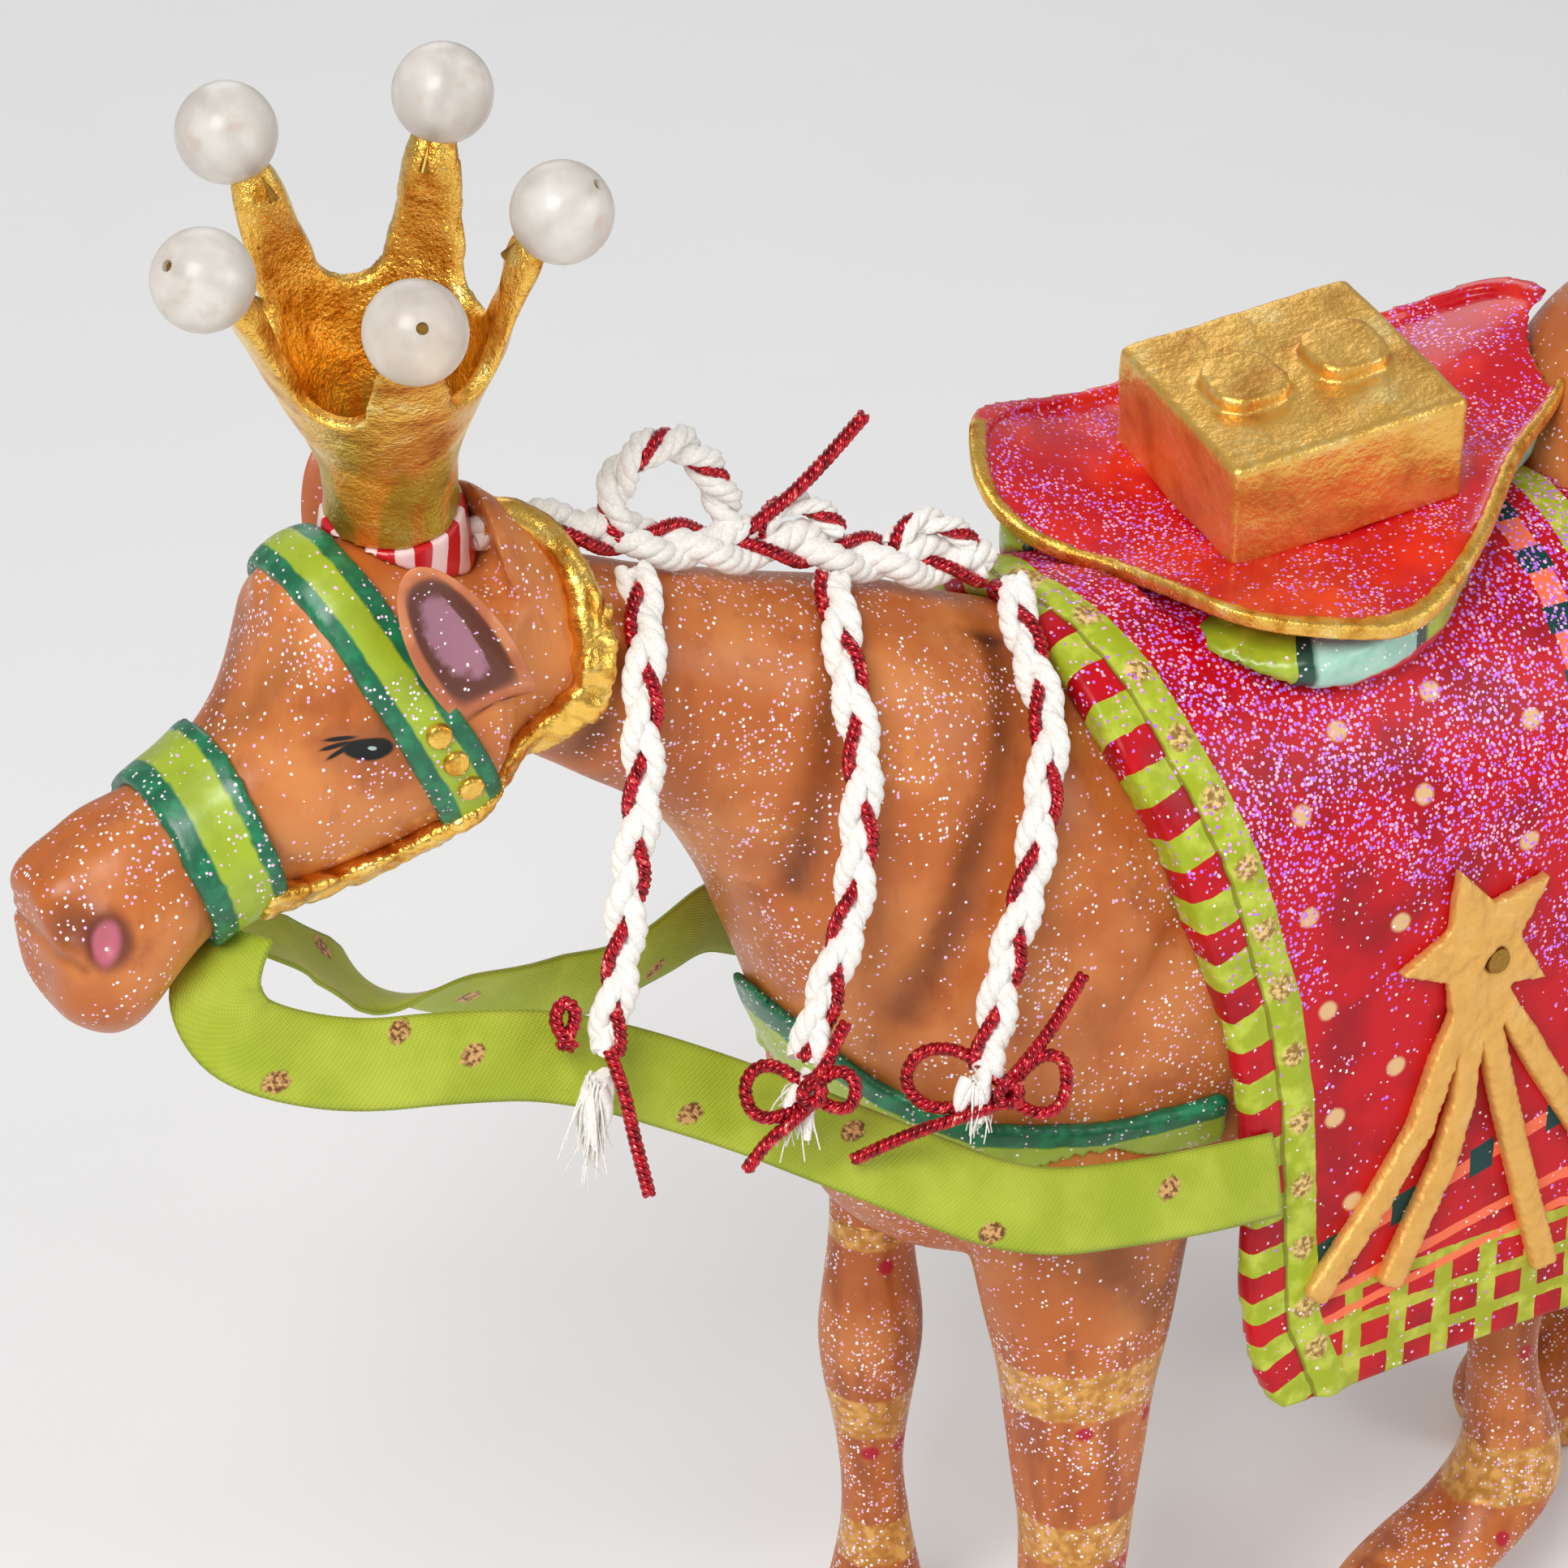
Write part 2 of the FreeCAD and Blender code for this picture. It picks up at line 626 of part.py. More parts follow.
loop_lines = [
    [(-52.4, -1, 169.8), (-53.0, -1, 176.6), (-47.2, -1, 179.2), (-41.0, 0, 176.4), (-37.9, 0, 166.0)],
    [(-35.2, -0.4, 165.5), (-30.1, -0.5, 170.8), (-25.6, -0.9, 163.0)],
    [(-19.0, -1, 160.5), (-13.6, -1, 164.6), (-8.8, -1, 157.5)],
]
yarn_diameter = 2.2
loops = [tube(points, yarn_diameter, "mane_loops").cut(mane_braid) for points in loop_lines]
loops = [max(soft.Solids, key=lambda s: s.Volume) for soft in loops]

rein_lean = (0.23, 0.39, 0.89)
near_line = [(-99.5, -6, 134.2), (-97.0, -10, 125.5), (-83, -12.5, 122.2), (-66, -13.8, 118.5),
             (-48.1, -17, 108.8), (-31.3, -23, 98.7), (-18.3, -28.7, 91.2), (-4, -30.8, 89.6),
             (8, -31.6, 88.6), (13.5, -31.7, 88.2)]
far_line = [(-98.5, 3, 135.2), (-84.7, 7, 124.5), (-67, 11.5, 114), (-47.7, 16, 107.5),
            (-33, 22, 101), (-18, 28.5, 94), (-4, 30.8, 90.5), (8, 31.6, 88.6), (13.5, 31.7, 88.2)]
near_lean = [rein_lean] * len(near_line)
far_lean = [(-0.2, -0.3, 0.93)] * len(far_line)
reins = {
    "rein_left": ribbon(list(zip(near_line, near_lean)), rein_width, rein_thickness),
    "rein_right": ribbon(list(zip(far_line, far_lean)), rein_width, rein_thickness),
}
for name, soft in reins.items():
    for rest in (body, head_solid, noseband, halter_trim, blanket_full, *braids.values()):
        soft = soft.cut(rest)
    reins[name] = max(soft.Solids, key=lambda s: s.Volume)


def save_group(name, shapes):
    save(name, Part.makeCompound(shapes))


nodes = {
    "torso_casting": torso_casting, "head_casting": head_casting, "head_dowel": head_dowel,
    "tail_casting": tail_casting, "ear_left": ear(-1), "ear_right": ear(1),
    "crown_band": band, "crown": placed(crown_cup, crown_frame),
    "crown_dowel": placed(crown_dowel, crown_frame),
    "noseband": noseband, "browband": browband, "halter_trim": halter_trim,
    "chest_strap": chest_strap, "saddle_blanket": saddle_blanket, "saddle_pad": saddle_pad,
    "saddle_dish": saddle_dish, "gift_casket": gift_casket,
}
nodes.update(legs)
nodes.update(stars)
nodes["mane_braid"] = mane_braid
nodes.update(braids)
nodes.update(reins)
for k, bead in enumerate(beads):
    nodes["crown_bead_%d" % (k + 1)] = placed(bead, crown_frame)
for name, shape in nodes.items():
    print(name, shape.isValid(), round(shape.Volume, 1), len(shape.Solids))
    save(name, shape)
save_group("leg_core_wires", leg_cores)
save_group("bead_pins", [placed(pin, crown_frame) for pin in bead_pins])
save_group("browband_studs", studs)
save_group("casket_bosses", bosses)
save_group("star_pins", star_pins)
save_group("mane_loops", loops)
save_group("braid_bows", bows)
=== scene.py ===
"""A crowned, caparisoned pack horse ornament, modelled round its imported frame."""
import math

import bmesh
import bpy
import numpy as np
from bpy.props import FloatProperty, FloatVectorProperty, PointerProperty
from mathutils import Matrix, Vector


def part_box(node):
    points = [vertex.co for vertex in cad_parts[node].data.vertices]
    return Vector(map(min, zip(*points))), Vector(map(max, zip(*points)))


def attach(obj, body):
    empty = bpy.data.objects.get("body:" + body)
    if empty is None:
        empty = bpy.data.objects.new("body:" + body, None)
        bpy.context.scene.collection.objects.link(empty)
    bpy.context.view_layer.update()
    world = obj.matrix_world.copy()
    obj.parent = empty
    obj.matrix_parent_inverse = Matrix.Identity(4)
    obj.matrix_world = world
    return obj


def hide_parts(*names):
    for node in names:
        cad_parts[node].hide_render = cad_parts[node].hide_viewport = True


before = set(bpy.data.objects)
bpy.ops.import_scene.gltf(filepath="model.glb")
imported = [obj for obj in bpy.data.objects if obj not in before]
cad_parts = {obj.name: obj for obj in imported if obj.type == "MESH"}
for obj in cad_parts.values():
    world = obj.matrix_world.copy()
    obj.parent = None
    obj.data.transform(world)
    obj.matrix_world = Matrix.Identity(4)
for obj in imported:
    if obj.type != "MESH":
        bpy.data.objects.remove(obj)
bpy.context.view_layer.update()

bl_info = {
    "name": "Crowned Pack Horse",
    "version": (1, 0, 0),
    "blender": (4, 5, 0),
    "location": "View3D > Sidebar > Pack Horse",
    "description": "Builds a crowned cast pack horse ornament round its packed frame",
    "category": "Object",
}

MM = 0.001


# ------------------------------------------------------------------ small helpers
def srgb(red, green, blue):
    """A colour picked on screen, 0 to 255, as the linear values that shaders use."""
    def linear(c):
        c /= 255.0
        return c / 12.92 if c <= 0.04045 else ((c + 0.055) / 1.055) ** 2.4
    return tuple(linear(c) for c in (red, green, blue))


def settings():
    return bpy.context.scene.pack_horse


def own_colour(name):
    return tuple(getattr(settings(), name + "_colour"))


def link(obj):
    bpy.context.scene.collection.objects.link(obj)
    return obj


def object_from(name, bm):
    mesh = bpy.data.meshes.new(name)
    bm.to_mesh(mesh)
    bm.free()
    return link(bpy.data.objects.new(name, mesh))


def mesh_made_by(obj):
    graph = bpy.context.evaluated_depsgraph_get()
    graph.update()
    return bpy.data.meshes.new_from_object(obj.evaluated_get(graph))


def applied(obj):
    """Swaps the object's mesh for the one its modifiers make, and drops them."""
    mesh = mesh_made_by(obj)
    obj.modifiers.clear()
    obj.data = mesh
    return obj


def smooth_shaded(obj):
    obj.data.polygons.foreach_set("use_smooth", [True] * len(obj.data.polygons))
    return obj


def melted(name, nodes, voxel, soften, replaces=True):
    """A closed skin over copies of CAD solids, in voxels of some mm and softened so many times."""
    bm = bmesh.new()
    for node in nodes:
        bm.from_mesh(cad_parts[node].data)
    bmesh.ops.remove_doubles(bm, verts=bm.verts, dist=1e-7)
    obj = object_from(name, bm)
    skin = obj.modifiers.new("Skin", "REMESH")
    skin.mode, skin.voxel_size, skin.use_smooth_shade = "VOXEL", voxel * MM, True
    if soften:
        even = obj.modifiers.new("Soften", "SMOOTH")
        even.factor, even.iterations = 0.5, soften
    smooth_shaded(applied(obj))
    if replaces:
        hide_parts(*nodes)
    return obj


def points_of(obj):
    """Vertex places in mm and normals, as arrays."""
    mesh = obj.data
    places = np.empty(len(mesh.vertices) * 3)
    normals = np.empty(len(mesh.vertices) * 3, np.float32)
    mesh.vertices.foreach_get("co", places)
    mesh.vertices.foreach_get("normal", normals)
    return places.reshape(-1, 3) / MM, normals.reshape(-1, 3)


def melted_points(name, nodes, voxel, soften):
    obj = melted(name, nodes, voxel, soften)
    return (obj, *points_of(obj))


def put_points(obj, places):
    obj.data.vertices.foreach_set("co", (places * MM).ravel())
    obj.data.update()


def put_value(obj, name, values):
    layer = obj.data.attributes.get(name) or obj.data.attributes.new(name, "FLOAT", "POINT")
    layer.data.foreach_set("value", np.asarray(values, np.float32))


def value_of(obj, name):
    layer = obj.data.attributes.get(name)
    values = np.zeros(len(obj.data.vertices), np.float32)
    if layer:
        layer.data.foreach_get("value", values)
    return values


def distance_to_line(places, line):
    """Distance of each place to a polyline, and how far along the line it is."""
    best = np.full(len(places), 1e9)
    along = np.zeros(len(places))
    run = 0.0
    for start, end in zip(line, line[1:]):
        start, end = np.array(start, float), np.array(end, float)
        span = end - start
        length = np.linalg.norm(span)
        t = np.clip((places - start) @ span / length ** 2, 0, 1)
        gap = np.linalg.norm(places - start - t[:, None] * span, axis=1)
        near = gap < best
        best[near], along[near] = gap[near], run + t[near] * length
        run += length
    return best, along


def both_sides(places):
    folded = places.copy()
    folded[:, 1] = np.abs(folded[:, 1])
    return folded


def wobble(places, size, seed):
    """A smooth, repeatable unevenness from -1 to 1, about size mm from crest to crest."""
    rng = np.random.default_rng(seed)
    total = np.zeros(len(places))
    for _ in range(9):
        way = rng.normal(size=3)
        way *= 2 * math.pi / size / np.linalg.norm(way) * rng.uniform(0.6, 1.6)
        total += np.sin(places @ way + rng.uniform(0, 2 * math.pi))
    return total / 4.0


def grow(obj, lift, *lumps):
    """Swells a skin by lift mm and by waves, each given as its height, size and seed."""
    places, normals = points_of(obj)
    waves = sum(height * wobble(places, size, seed) for height, size, seed in lumps)
    put_points(obj, places + normals * (lift + waves)[:, None])


def cut_away(bm, point, normal):
    """Removes what is on the normal's side of a plane and closes the cut flat."""
    cut = bmesh.ops.bisect_plane(
        bm, geom=bm.verts[:] + bm.edges[:] + bm.faces[:], dist=1e-6,
        plane_co=Vector(point) * MM, plane_no=normal, clear_outer=True)
    rim = [e for e in cut["geom_cut"] if isinstance(e, bmesh.types.BMEdge)]
    lids = bmesh.ops.holes_fill(bm, edges=rim, sides=0)["faces"]
    for lid in lids:
        lid.smooth = False
    bmesh.ops.triangulate(bm, faces=lids)


def painted(obj, *materials):
    if obj.data.materials:
        obj.data.materials.clear()  # this also resets which faces use which material
    for material in materials:
        obj.data.materials.append(material)


def finished(obj, slot, *materials):
    """Paints a piece and fixes it to the ornament's one body."""
    painted(obj, *materials)
    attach(obj, "root")


# ------------------------------------------------------------------ shader maths
def shader_sum(operation, swapped=False):
    """A method that adds one Math node to a value, or to a value and something else."""
    def made(self, other=0.0):
        return self.finish.maths(operation, *((other, self) if swapped else (self, other)))
    return made


class Value:
    """A shader output that adds its own Math nodes when it is used in a sum."""

    def __init__(self, finish, socket):
        self.finish, self.socket = finish, socket

    __abs__ = shader_sum("ABSOLUTE")
    __add__ = __radd__ = shader_sum("ADD")
    __mul__ = __rmul__ = shader_sum("MULTIPLY")
    __sub__, __rsub__ = shader_sum("SUBTRACT"), shader_sum("SUBTRACT", swapped=True)
    __truediv__, __mod__ = shader_sum("DIVIDE"), shader_sum("FLOORED_MODULO")
    __gt__, __lt__ = shader_sum("GREATER_THAN"), shader_sum("LESS_THAN")


class Finish:
    """One procedural material; its lengths are in millimetres."""

    def __init__(self, name, **constants):
        self.material = bpy.data.materials.new(name)
        self.material.use_nodes = True
        self.tree = self.material.node_tree
        self.shader = self.tree.nodes["Principled BSDF"]
        for key, value in constants.items():
            label = key.replace("_", " ").title().replace("Ior", "IOR")
            self.shader.inputs[label].default_value = value
        where = self.node("TexCoord", out="Object")
        self.place = self.node("VectorMath", {"operation": "SCALE"},
                               {"Vector": where, "Scale": 1 / MM})
        self.x, self.y, self.z = self.parts(self.place)

    def node(self, kind, options=None, inputs=None, out=0):
        made = self.tree.nodes.new("ShaderNode" + kind)
        for key, value in (options or {}).items():
            setattr(made, key, value)
        for key, value in (inputs or {}).items():
            self.feed(made.inputs[key], value)
        return Value(self, made.outputs[out])

    def feed(self, socket, value):
        if isinstance(value, Value):
            self.tree.links.new(value.socket, socket)
        elif isinstance(value, (tuple, list)) and len(value) == 3 and socket.type == "RGBA":
            socket.default_value = (*value, 1.0)
        else:
            socket.default_value = value

    def parts(self, vector):
        split = self.node("SeparateXYZ", inputs={0: vector}).socket.node
        return [Value(self, s) for s in split.outputs]

    def vector(self, x, y, z):
        return self.node("CombineXYZ", inputs={0: x, 1: y, 2: z})

    def maths(self, operation, a, b=0.0):
        return self.node("Math", {"operation": operation}, {0: a, 1: b})

    def mix(self, amount, first, second):
        return self.node("Mix", {"data_type": "RGBA", "clamp_factor": True},
                         {0: amount, 6: first, 7: second}, out=2)

    def noise(self, size, detail=3.0, rough=0.5, at=None):
        return self.node("TexNoise", inputs={
            "Vector": at or self.place, "Scale": 1.0 / size, "Detail": detail, "Roughness": rough})

    def cells(self, size, at=None, out="Distance"):
        return self.node("TexVoronoi", inputs={
            "Vector": at or self.place, "Scale": 1.0 / size}, out=out)

    def rise(self, value, low, high):
        """0 below low, 1 above high and a soft ramp between."""
        return self.node("MapRange", {"interpolation_type": "SMOOTHSTEP"},
                         {"Value": value, "From Min": low, "From Max": high})

    def mottle(self, size, first, second, low=0.4, high=0.7, detail=4.0):
        """Two colours in soft patches about size mm across."""
        return self.mix(self.rise(self.noise(size, detail), low, high), first, second)

    def attribute(self, name):
        return self.node("Attribute", {"attribute_name": name}, out="Fac")

    def uv(self, name):
        return self.parts(self.node("UVMap", {"uv_map": name}))

    def length(self, *gaps):
        total = gaps[0] * gaps[0]
        for gap in gaps[1:]:
            total = total + gap * gap
        return self.maths("SQRT", total)

    def ellipse(self, a, b, centre, radii, turn=0.0, soft=0.15):
        """1 inside an ellipse drawn on the coordinates a and b, 0 outside."""
        c, s = math.cos(math.radians(turn)), math.sin(math.radians(turn))
        da, db = a - centre[0], b - centre[1]
        reach = self.length((da * c + db * s) / radii[0], (db * c - da * s) / radii[1])
        return self.rise(reach, 1 + soft, 1 - soft)

    def spot(self, centre, radii, turn=0.0, soft=0.3):
        """An ellipse drawn on the side view, so on both sides of the piece."""
        return self.ellipse(self.x, self.z, centre, radii, turn, soft)

    def glitter(self, colour, amount, size, tints):
        """Tiny flakes over a colour; amount is the share of cells that hold a flake."""
        pick = self.cells(size, out="Color")
        red, green, blue = self.parts(pick)
        flake = (red < amount) * (self.cells(size) < (0.32 + 0.18 * blue))
        tint = self.mix(green > 0.45, tints[0], tints[1])
        return self.mix(flake, colour, tint), flake

    def bump(self, height, strength, distance):
        return self.node("Bump", inputs={
            "Height": height, "Strength": strength, "Distance": distance * MM})

    def done(self, colour, roughness=None, metallic=None, normal=None, coat=None):
        sockets = {"Base Color": colour, "Roughness": roughness, "Metallic": metallic,
                   "Normal": normal, "Coat Weight": coat}
        for key, value in sockets.items():
            if value is not None:
                self.feed(self.shader.inputs[key], value)
        return self.material


GLITTER_PALE = (srgb(255, 250, 252), srgb(240, 190, 235))
GLITTER_PINK = (srgb(255, 178, 224), srgb(206, 116, 250))


def leaf_colour(f, size, pale=0.0):
    """Gold leaf: broad lighter and darker patches of tone, the palest of them painted highlights,
    with fine flecks of brown ground.
    """
    broad, fine = f.noise(4.5 * size, 4.0, 0.55), f.noise(0.55 * size, 3.0, 0.6)
    tone = f.mix(f.rise(broad, 0.30, 0.52), srgb(206, 140, 46), own_colour("gold"))
    # painted highlight: the palest patches of the leaf
    tone = f.mix(f.rise(broad + (fine - 0.5) * 0.5, 0.54, 0.72), tone, srgb(255, 228, 146))
    tone = f.mix(f.rise(fine, 0.60, 0.74) * (0.5 - 0.4 * pale), tone, srgb(116, 66, 14))
    return f.mix(pale, tone, srgb(232, 178, 98)), fine


def gold_leaf(name, size=1.0, pale=0.0):
    """Beaten gold leaf, or brushed paler gold paint when pale is near 1."""
    f = Finish(name)
    colour, fine = leaf_colour(f, size, pale)
    dents = f.noise(1.8 * size, 4.0, 0.6)
    rough = 0.19 + 0.3 * pale + 0.14 * fine
    return f.done(colour, rough, 1.0 - 0.5 * pale, f.bump(dents + fine * 0.35, 0.8, 0.30 * size))


def skin_layers(f):
    """Terracotta paint with mottling and streaks, and brown painted shade laid into the hollows and
    creases.
    """
    base = f.mottle(16.0, own_colour("skin"), srgb(212, 132, 70), 0.42, 0.68)
    base = f.mix(f.rise(f.noise(7.0, 5.0, 0.6), 0.52, 0.76) * 0.6, base, srgb(152, 70, 24))
    streak = f.noise(3.0, 4.0, 0.6, at=f.vector(f.x * 1.6, f.y * 1.6, f.z * 0.35))
    base = f.mix(f.rise(streak, 0.55, 0.8) * 0.4, base, srgb(140, 66, 32))
    # painted shade: the 'shade' values of the sculpted creases and hollows darken the skin towards
    # brown
    shade = f.attribute("shade") + (f.noise(2.5, 4.0) - 0.5) * 0.25
    return f.mix(f.rise(shade, 0.05, 0.95), base, srgb(82, 36, 18))


def skin_normal(f, flakes):
    grain = f.noise(0.8, 4.0) * 0.5 + f.noise(4.0, 3.0)
    return f.bump(grain * 0.6 + flakes * 0.5, 0.45, 0.22)


NOSTRIL = (117.2, 6.6, 144.4)
EYE = ((-86.6, 158.6), (2.7, 1.25), -10.0, 0.12)
# spots painted on the head: middle, radii, turn, softness, strength and colour
HEAD_SPOTS = (
    ((-114.1, 142.9), (2.2, 3.1), -14.0, 0.3, 0.8, (90, 34, 32)),       # wing of the nostril
    ((-114.3, 142.7), (1.2, 2.3), -14.0, 0.3, 1.0, (190, 100, 116)),
    ((-87.2, 159.2), (4.6, 2.6), 8.0, 0.5, 0.4, (120, 58, 30)),         # painted shade in the eye socket
    (*EYE, 1.0, (6, 5, 6)),
    ((-86.3, 158.6), (0.5, 0.22), -20.0, 0.2, 1.0, (170, 190, 190)),    # painted highlight: a glint of light on the eye
    ((-89.4, 160.1), (1.5, 0.26), 4.0, 0.3, 1.0, (12, 8, 8)),           # lid line and lashes
    ((-89.9, 159.35), (1.5, 0.26), 14.0, 0.3, 1.0, (12, 8, 8)),
    ((-89.5, 158.7), (1.5, 0.26), 30.0, 0.3, 1.0, (12, 8, 8)),
)


def skin_finish():
    f = Finish("Skin_Paint", coat_roughness=0.3, specular_ior_level=0.3)
    colour = skin_layers(f)
    side = abs(f.y)
    # painted shade: a soft brown darkening in the hollow round the nostril's pit
    hollow = f.length(f.x + NOSTRIL[0], side - NOSTRIL[1], f.z - NOSTRIL[2])
    colour = f.mix(f.rise(hollow, 4.4, 0.8) * 0.7, colour, srgb(110, 52, 26))
    for centre, radii, turn, soft, share, paint in HEAD_SPOTS:
        colour = f.mix(f.spot(centre, radii, turn, soft) * share, colour, srgb(*paint))
    spread = f.rise(f.noise(11.0, 2.0), 0.36, 0.7)
    amount = 0.03 + 0.30 * spread * (1 - f.spot(*EYE))
    colour, flakes = f.glitter(colour, amount, 0.42, GLITTER_PALE)
    rough = 0.42 - 0.2 * flakes + 0.14 * (f.noise(5.0) - 0.5)
    return f.done(colour, rough, 0.0, skin_normal(f, flakes), 0.2)


def leg_finish(name, bands, dots):
    """Skin with gold bands at given heights and small red dots between them."""
    f = Finish(name, coat_weight=0.15, coat_roughness=0.3, specular_ior_level=0.3)
    colour = skin_layers(f)
    drips = f.noise(3.4, 2.0, 0.5, at=f.vector(f.x, f.y, f.z * 0.15))
    colour = f.mix(f.rise(drips, 0.46, 0.66) * 0.55, colour, srgb(132, 58, 28))
    edge = (f.noise(2.2, 3.0) - 0.5) * 1.6
    gilded = 0.0
    for low, high, tilt in bands:
        level = f.z + edge + f.x * tilt
        band = f.rise(level, low - 0.3, low + 0.3) * f.rise(level, high + 0.3, high - 0.3)
        gilded = band + gilded
    leaf = f.mottle(1.4, srgb(190, 128, 56), srgb(226, 170, 90), 0.38, 0.66)
    colour = f.mix(gilded, colour, leaf)
    for x, z in dots:
        colour = f.mix(f.spot((x, z), (1.0, 1.0)), colour, srgb(176, 22, 40))
    spread = f.rise(f.noise(8.0, 2.0), 0.3, 0.66)
    colour, flakes = f.glitter(colour, 0.04 + 0.34 * spread, 0.42, GLITTER_PALE)
    rough = 0.46 - 0.16 * gilded - 0.15 * flakes
    return f.done(colour, rough, 0.4 * f.maths("MINIMUM", gilded, 1.0), skin_normal(f, flakes))


def strap_finish(name, low=-0.52, high=0.52):
    """Lime enamel with dark green painted edges; across runs from -1 to 1."""
    f = Finish(name, coat_weight=0.25, coat_roughness=0.25)
    across = f.attribute("across") + (f.noise(2.0, 3.0) - 0.5) * 0.22
    lime = f.mottle(3.5, own_colour("lime"), srgb(150, 170, 36))
    green = f.mottle(2.0, srgb(8, 96, 62), srgb(20, 130, 84))
    edges = f.maths("MAXIMUM", f.rise(across, low + 0.06, low - 0.06),
                    f.rise(across, high - 0.06, high + 0.06))
    colour = f.mix(edges, lime, green)
    spread = f.rise(f.noise(5.0, 2.0), 0.4, 0.66)
    colour, flakes = f.glitter(colour, 0.03 + 0.22 * spread, 0.4, GLITTER_PALE)
    height = f.noise(1.3, 4.0) * 0.7 - edges * 0.4 + flakes * 0.6
    return f.done(colour, 0.4 - 0.15 * flakes, 0.0, f.bump(height, 0.5, 0.2))


# ------------------------------------------------------------------ sculpted skin
HEAD_CUT = ((-62.5, 0.0, 160.0), (-0.874, 0.0, 0.486))
LEG_CUT_HEIGHT = 67.5
# each groove: how dark its painted shade is, how wide, how deep, and its line
BODY_GROOVES = (
    (0.6, 2.9, 1.2, ((-29.6, 9.3, 155), (-33.5, 13.1, 148), (-35.4, 13.6, 139),
                     (-38.0, 12.0, 129))),
    (0.6, 2.9, 1.2, ((-9.2, 8.5, 149), (-13.1, 15.4, 143), (-19.7, 19.6, 132), (-22.6, 19.5, 123),
                     (-26.0, 16.0, 113))),
    (0.6, 2.9, 1.2, ((-57.0, 8.0, 158), (-60.0, 9.5, 151), (-62.0, 7.0, 147))),
    (0.5, 1.0, 0.35, ((-48, 5.5, 161), (-28, 6.0, 155), (-8, 6.5, 149.5))),
    (0.5, 5.0, 0.5, ((-4, 24, 78), (4, 25, 70), (12, 24, 76))),
)
HEAD_GROOVES = (
    (0.4, 0.8, 0.5, ((-119.0, 0.0, 141.2), (-118.4, 4.0, 141.0), (-118.0, 6.9, 140.9),
                     (-116.9, 8.0, 140.0))),
    (0.45, 1.3, 0.3, ((-94, 9.6, 145), (-87, 10.4, 144), (-79, 11, 147))),
    (0.35, 2.0, 0.3, ((-99, 9, 150), (-97, 9.4, 146), (-94, 9.4, 142))),
    (0.4, 3.0, 0.25, ((-92, 6, 167), (-95, 4, 162), (-99, 0, 158))),
    (0.3, 2.2, 0.2, ((-83, 11.5, 163), (-82, 11.8, 158), (-84, 11.5, 153))),
)
# each swelling: how dark its painted shade is, how wide, how high, and its middle
HEAD_SWELLS = (
    (0, 3.6, 0.8, (-88.3, 8.4, 168.4)), (0, 2.6, 0.9, (-91.5, 2.5, 173.0)),
    (0, 6.5, 0.7, (-80.0, 11.0, 154.5)), (0, 5.5, -0.7, (-97.5, 8.0, 147.5)),
    (0, 1.9, 0.6, (-86.8, 11.6, 161.0)), (0, 1.7, 0.35, (-86.8, 11.6, 156.6)),
    (0, 1.2, -0.3, (-84.6, 11.6, 158.6)), (0, 2.2, 0.55, (-114.3, 8.6, 145.2)),
    (0, 1.6, 0.6, (-112.6, 9.2, 142.6)), (0, 3.6, 0.5, (-116.0, 5.0, 134.5)),
    (0, 3.2, 0.5, (-116.5, 3.0, 147.5)), (0, 4.5, 1.2, (-112.0, 3.5, 151.5)),
    (0.75, 1.7, -1.2, (-114.1, 8.6, 142.9)), (0.2, 2.4, -0.8, (-117.4, 6.4, 144.4)),
)


def swell(places, normals, centre, reach, rise):
    """Raises, or with a negative rise sinks, the skin round a point on both sides."""
    gap = np.linalg.norm(both_sides(places) - np.array(centre, float), axis=1)
    fall = np.exp(-(gap / reach) ** 2)
    places += normals * (rise * fall)[:, None]
    return fall


def groove(places, normals, line, reach, depth):
    """Presses a soft furrow along a line on both sides."""
    gap, _ = distance_to_line(both_sides(places), line)
    fall = np.exp(-(gap / reach) ** 2)
    places -= normals * (depth * fall)[:, None]
    return fall


def sculpt_body(obj):
    places, normals = points_of(obj)
    shade = np.zeros(len(places))
    for dark, reach, depth, line in BODY_GROOVES:
        shade += dark * groove(places, normals, line, reach, depth)
    places += normals * (0.12 * wobble(places, 9.0, 3))[:, None]
    put_points(obj, places)
    put_value(obj, "shade", np.clip(shade, 0, 1))


def sculpt_head(obj):
    places, normals = points_of(obj)
    shade = value_of(obj, "shade").astype(float)
    for dark, reach, rise, centre in HEAD_SWELLS:
        shade += dark * swell(places, normals, centre, reach, rise)
    for dark, reach, depth, line in HEAD_GROOVES:
        shade += dark * groove(places, normals, line, reach, depth)
    put_points(obj, places)
    put_value(obj, "shade", np.clip(shade, 0, 1))


def island_near(bm, centre):
    """Keeps only the loose part whose middle lies nearest to a point."""
    left, best, best_gap = set(bm.verts), None, 1e9
    while left:
        part, edge = set(), [left.pop()]
        while edge:
            vert = edge.pop()
            part.add(vert)
            for other in (e.other_vert(vert) for e in vert.link_edges):
                if other in left:
                    left.remove(other)
                    edge.append(other)
        middle = sum((v.co for v in part), Vector()) / len(part)
        if (middle - centre).length < best_gap:
            best, best_gap = part, (middle - centre).length
    bmesh.ops.delete(bm, geom=[v for v in bm.verts if v not in best], context="VERTS")


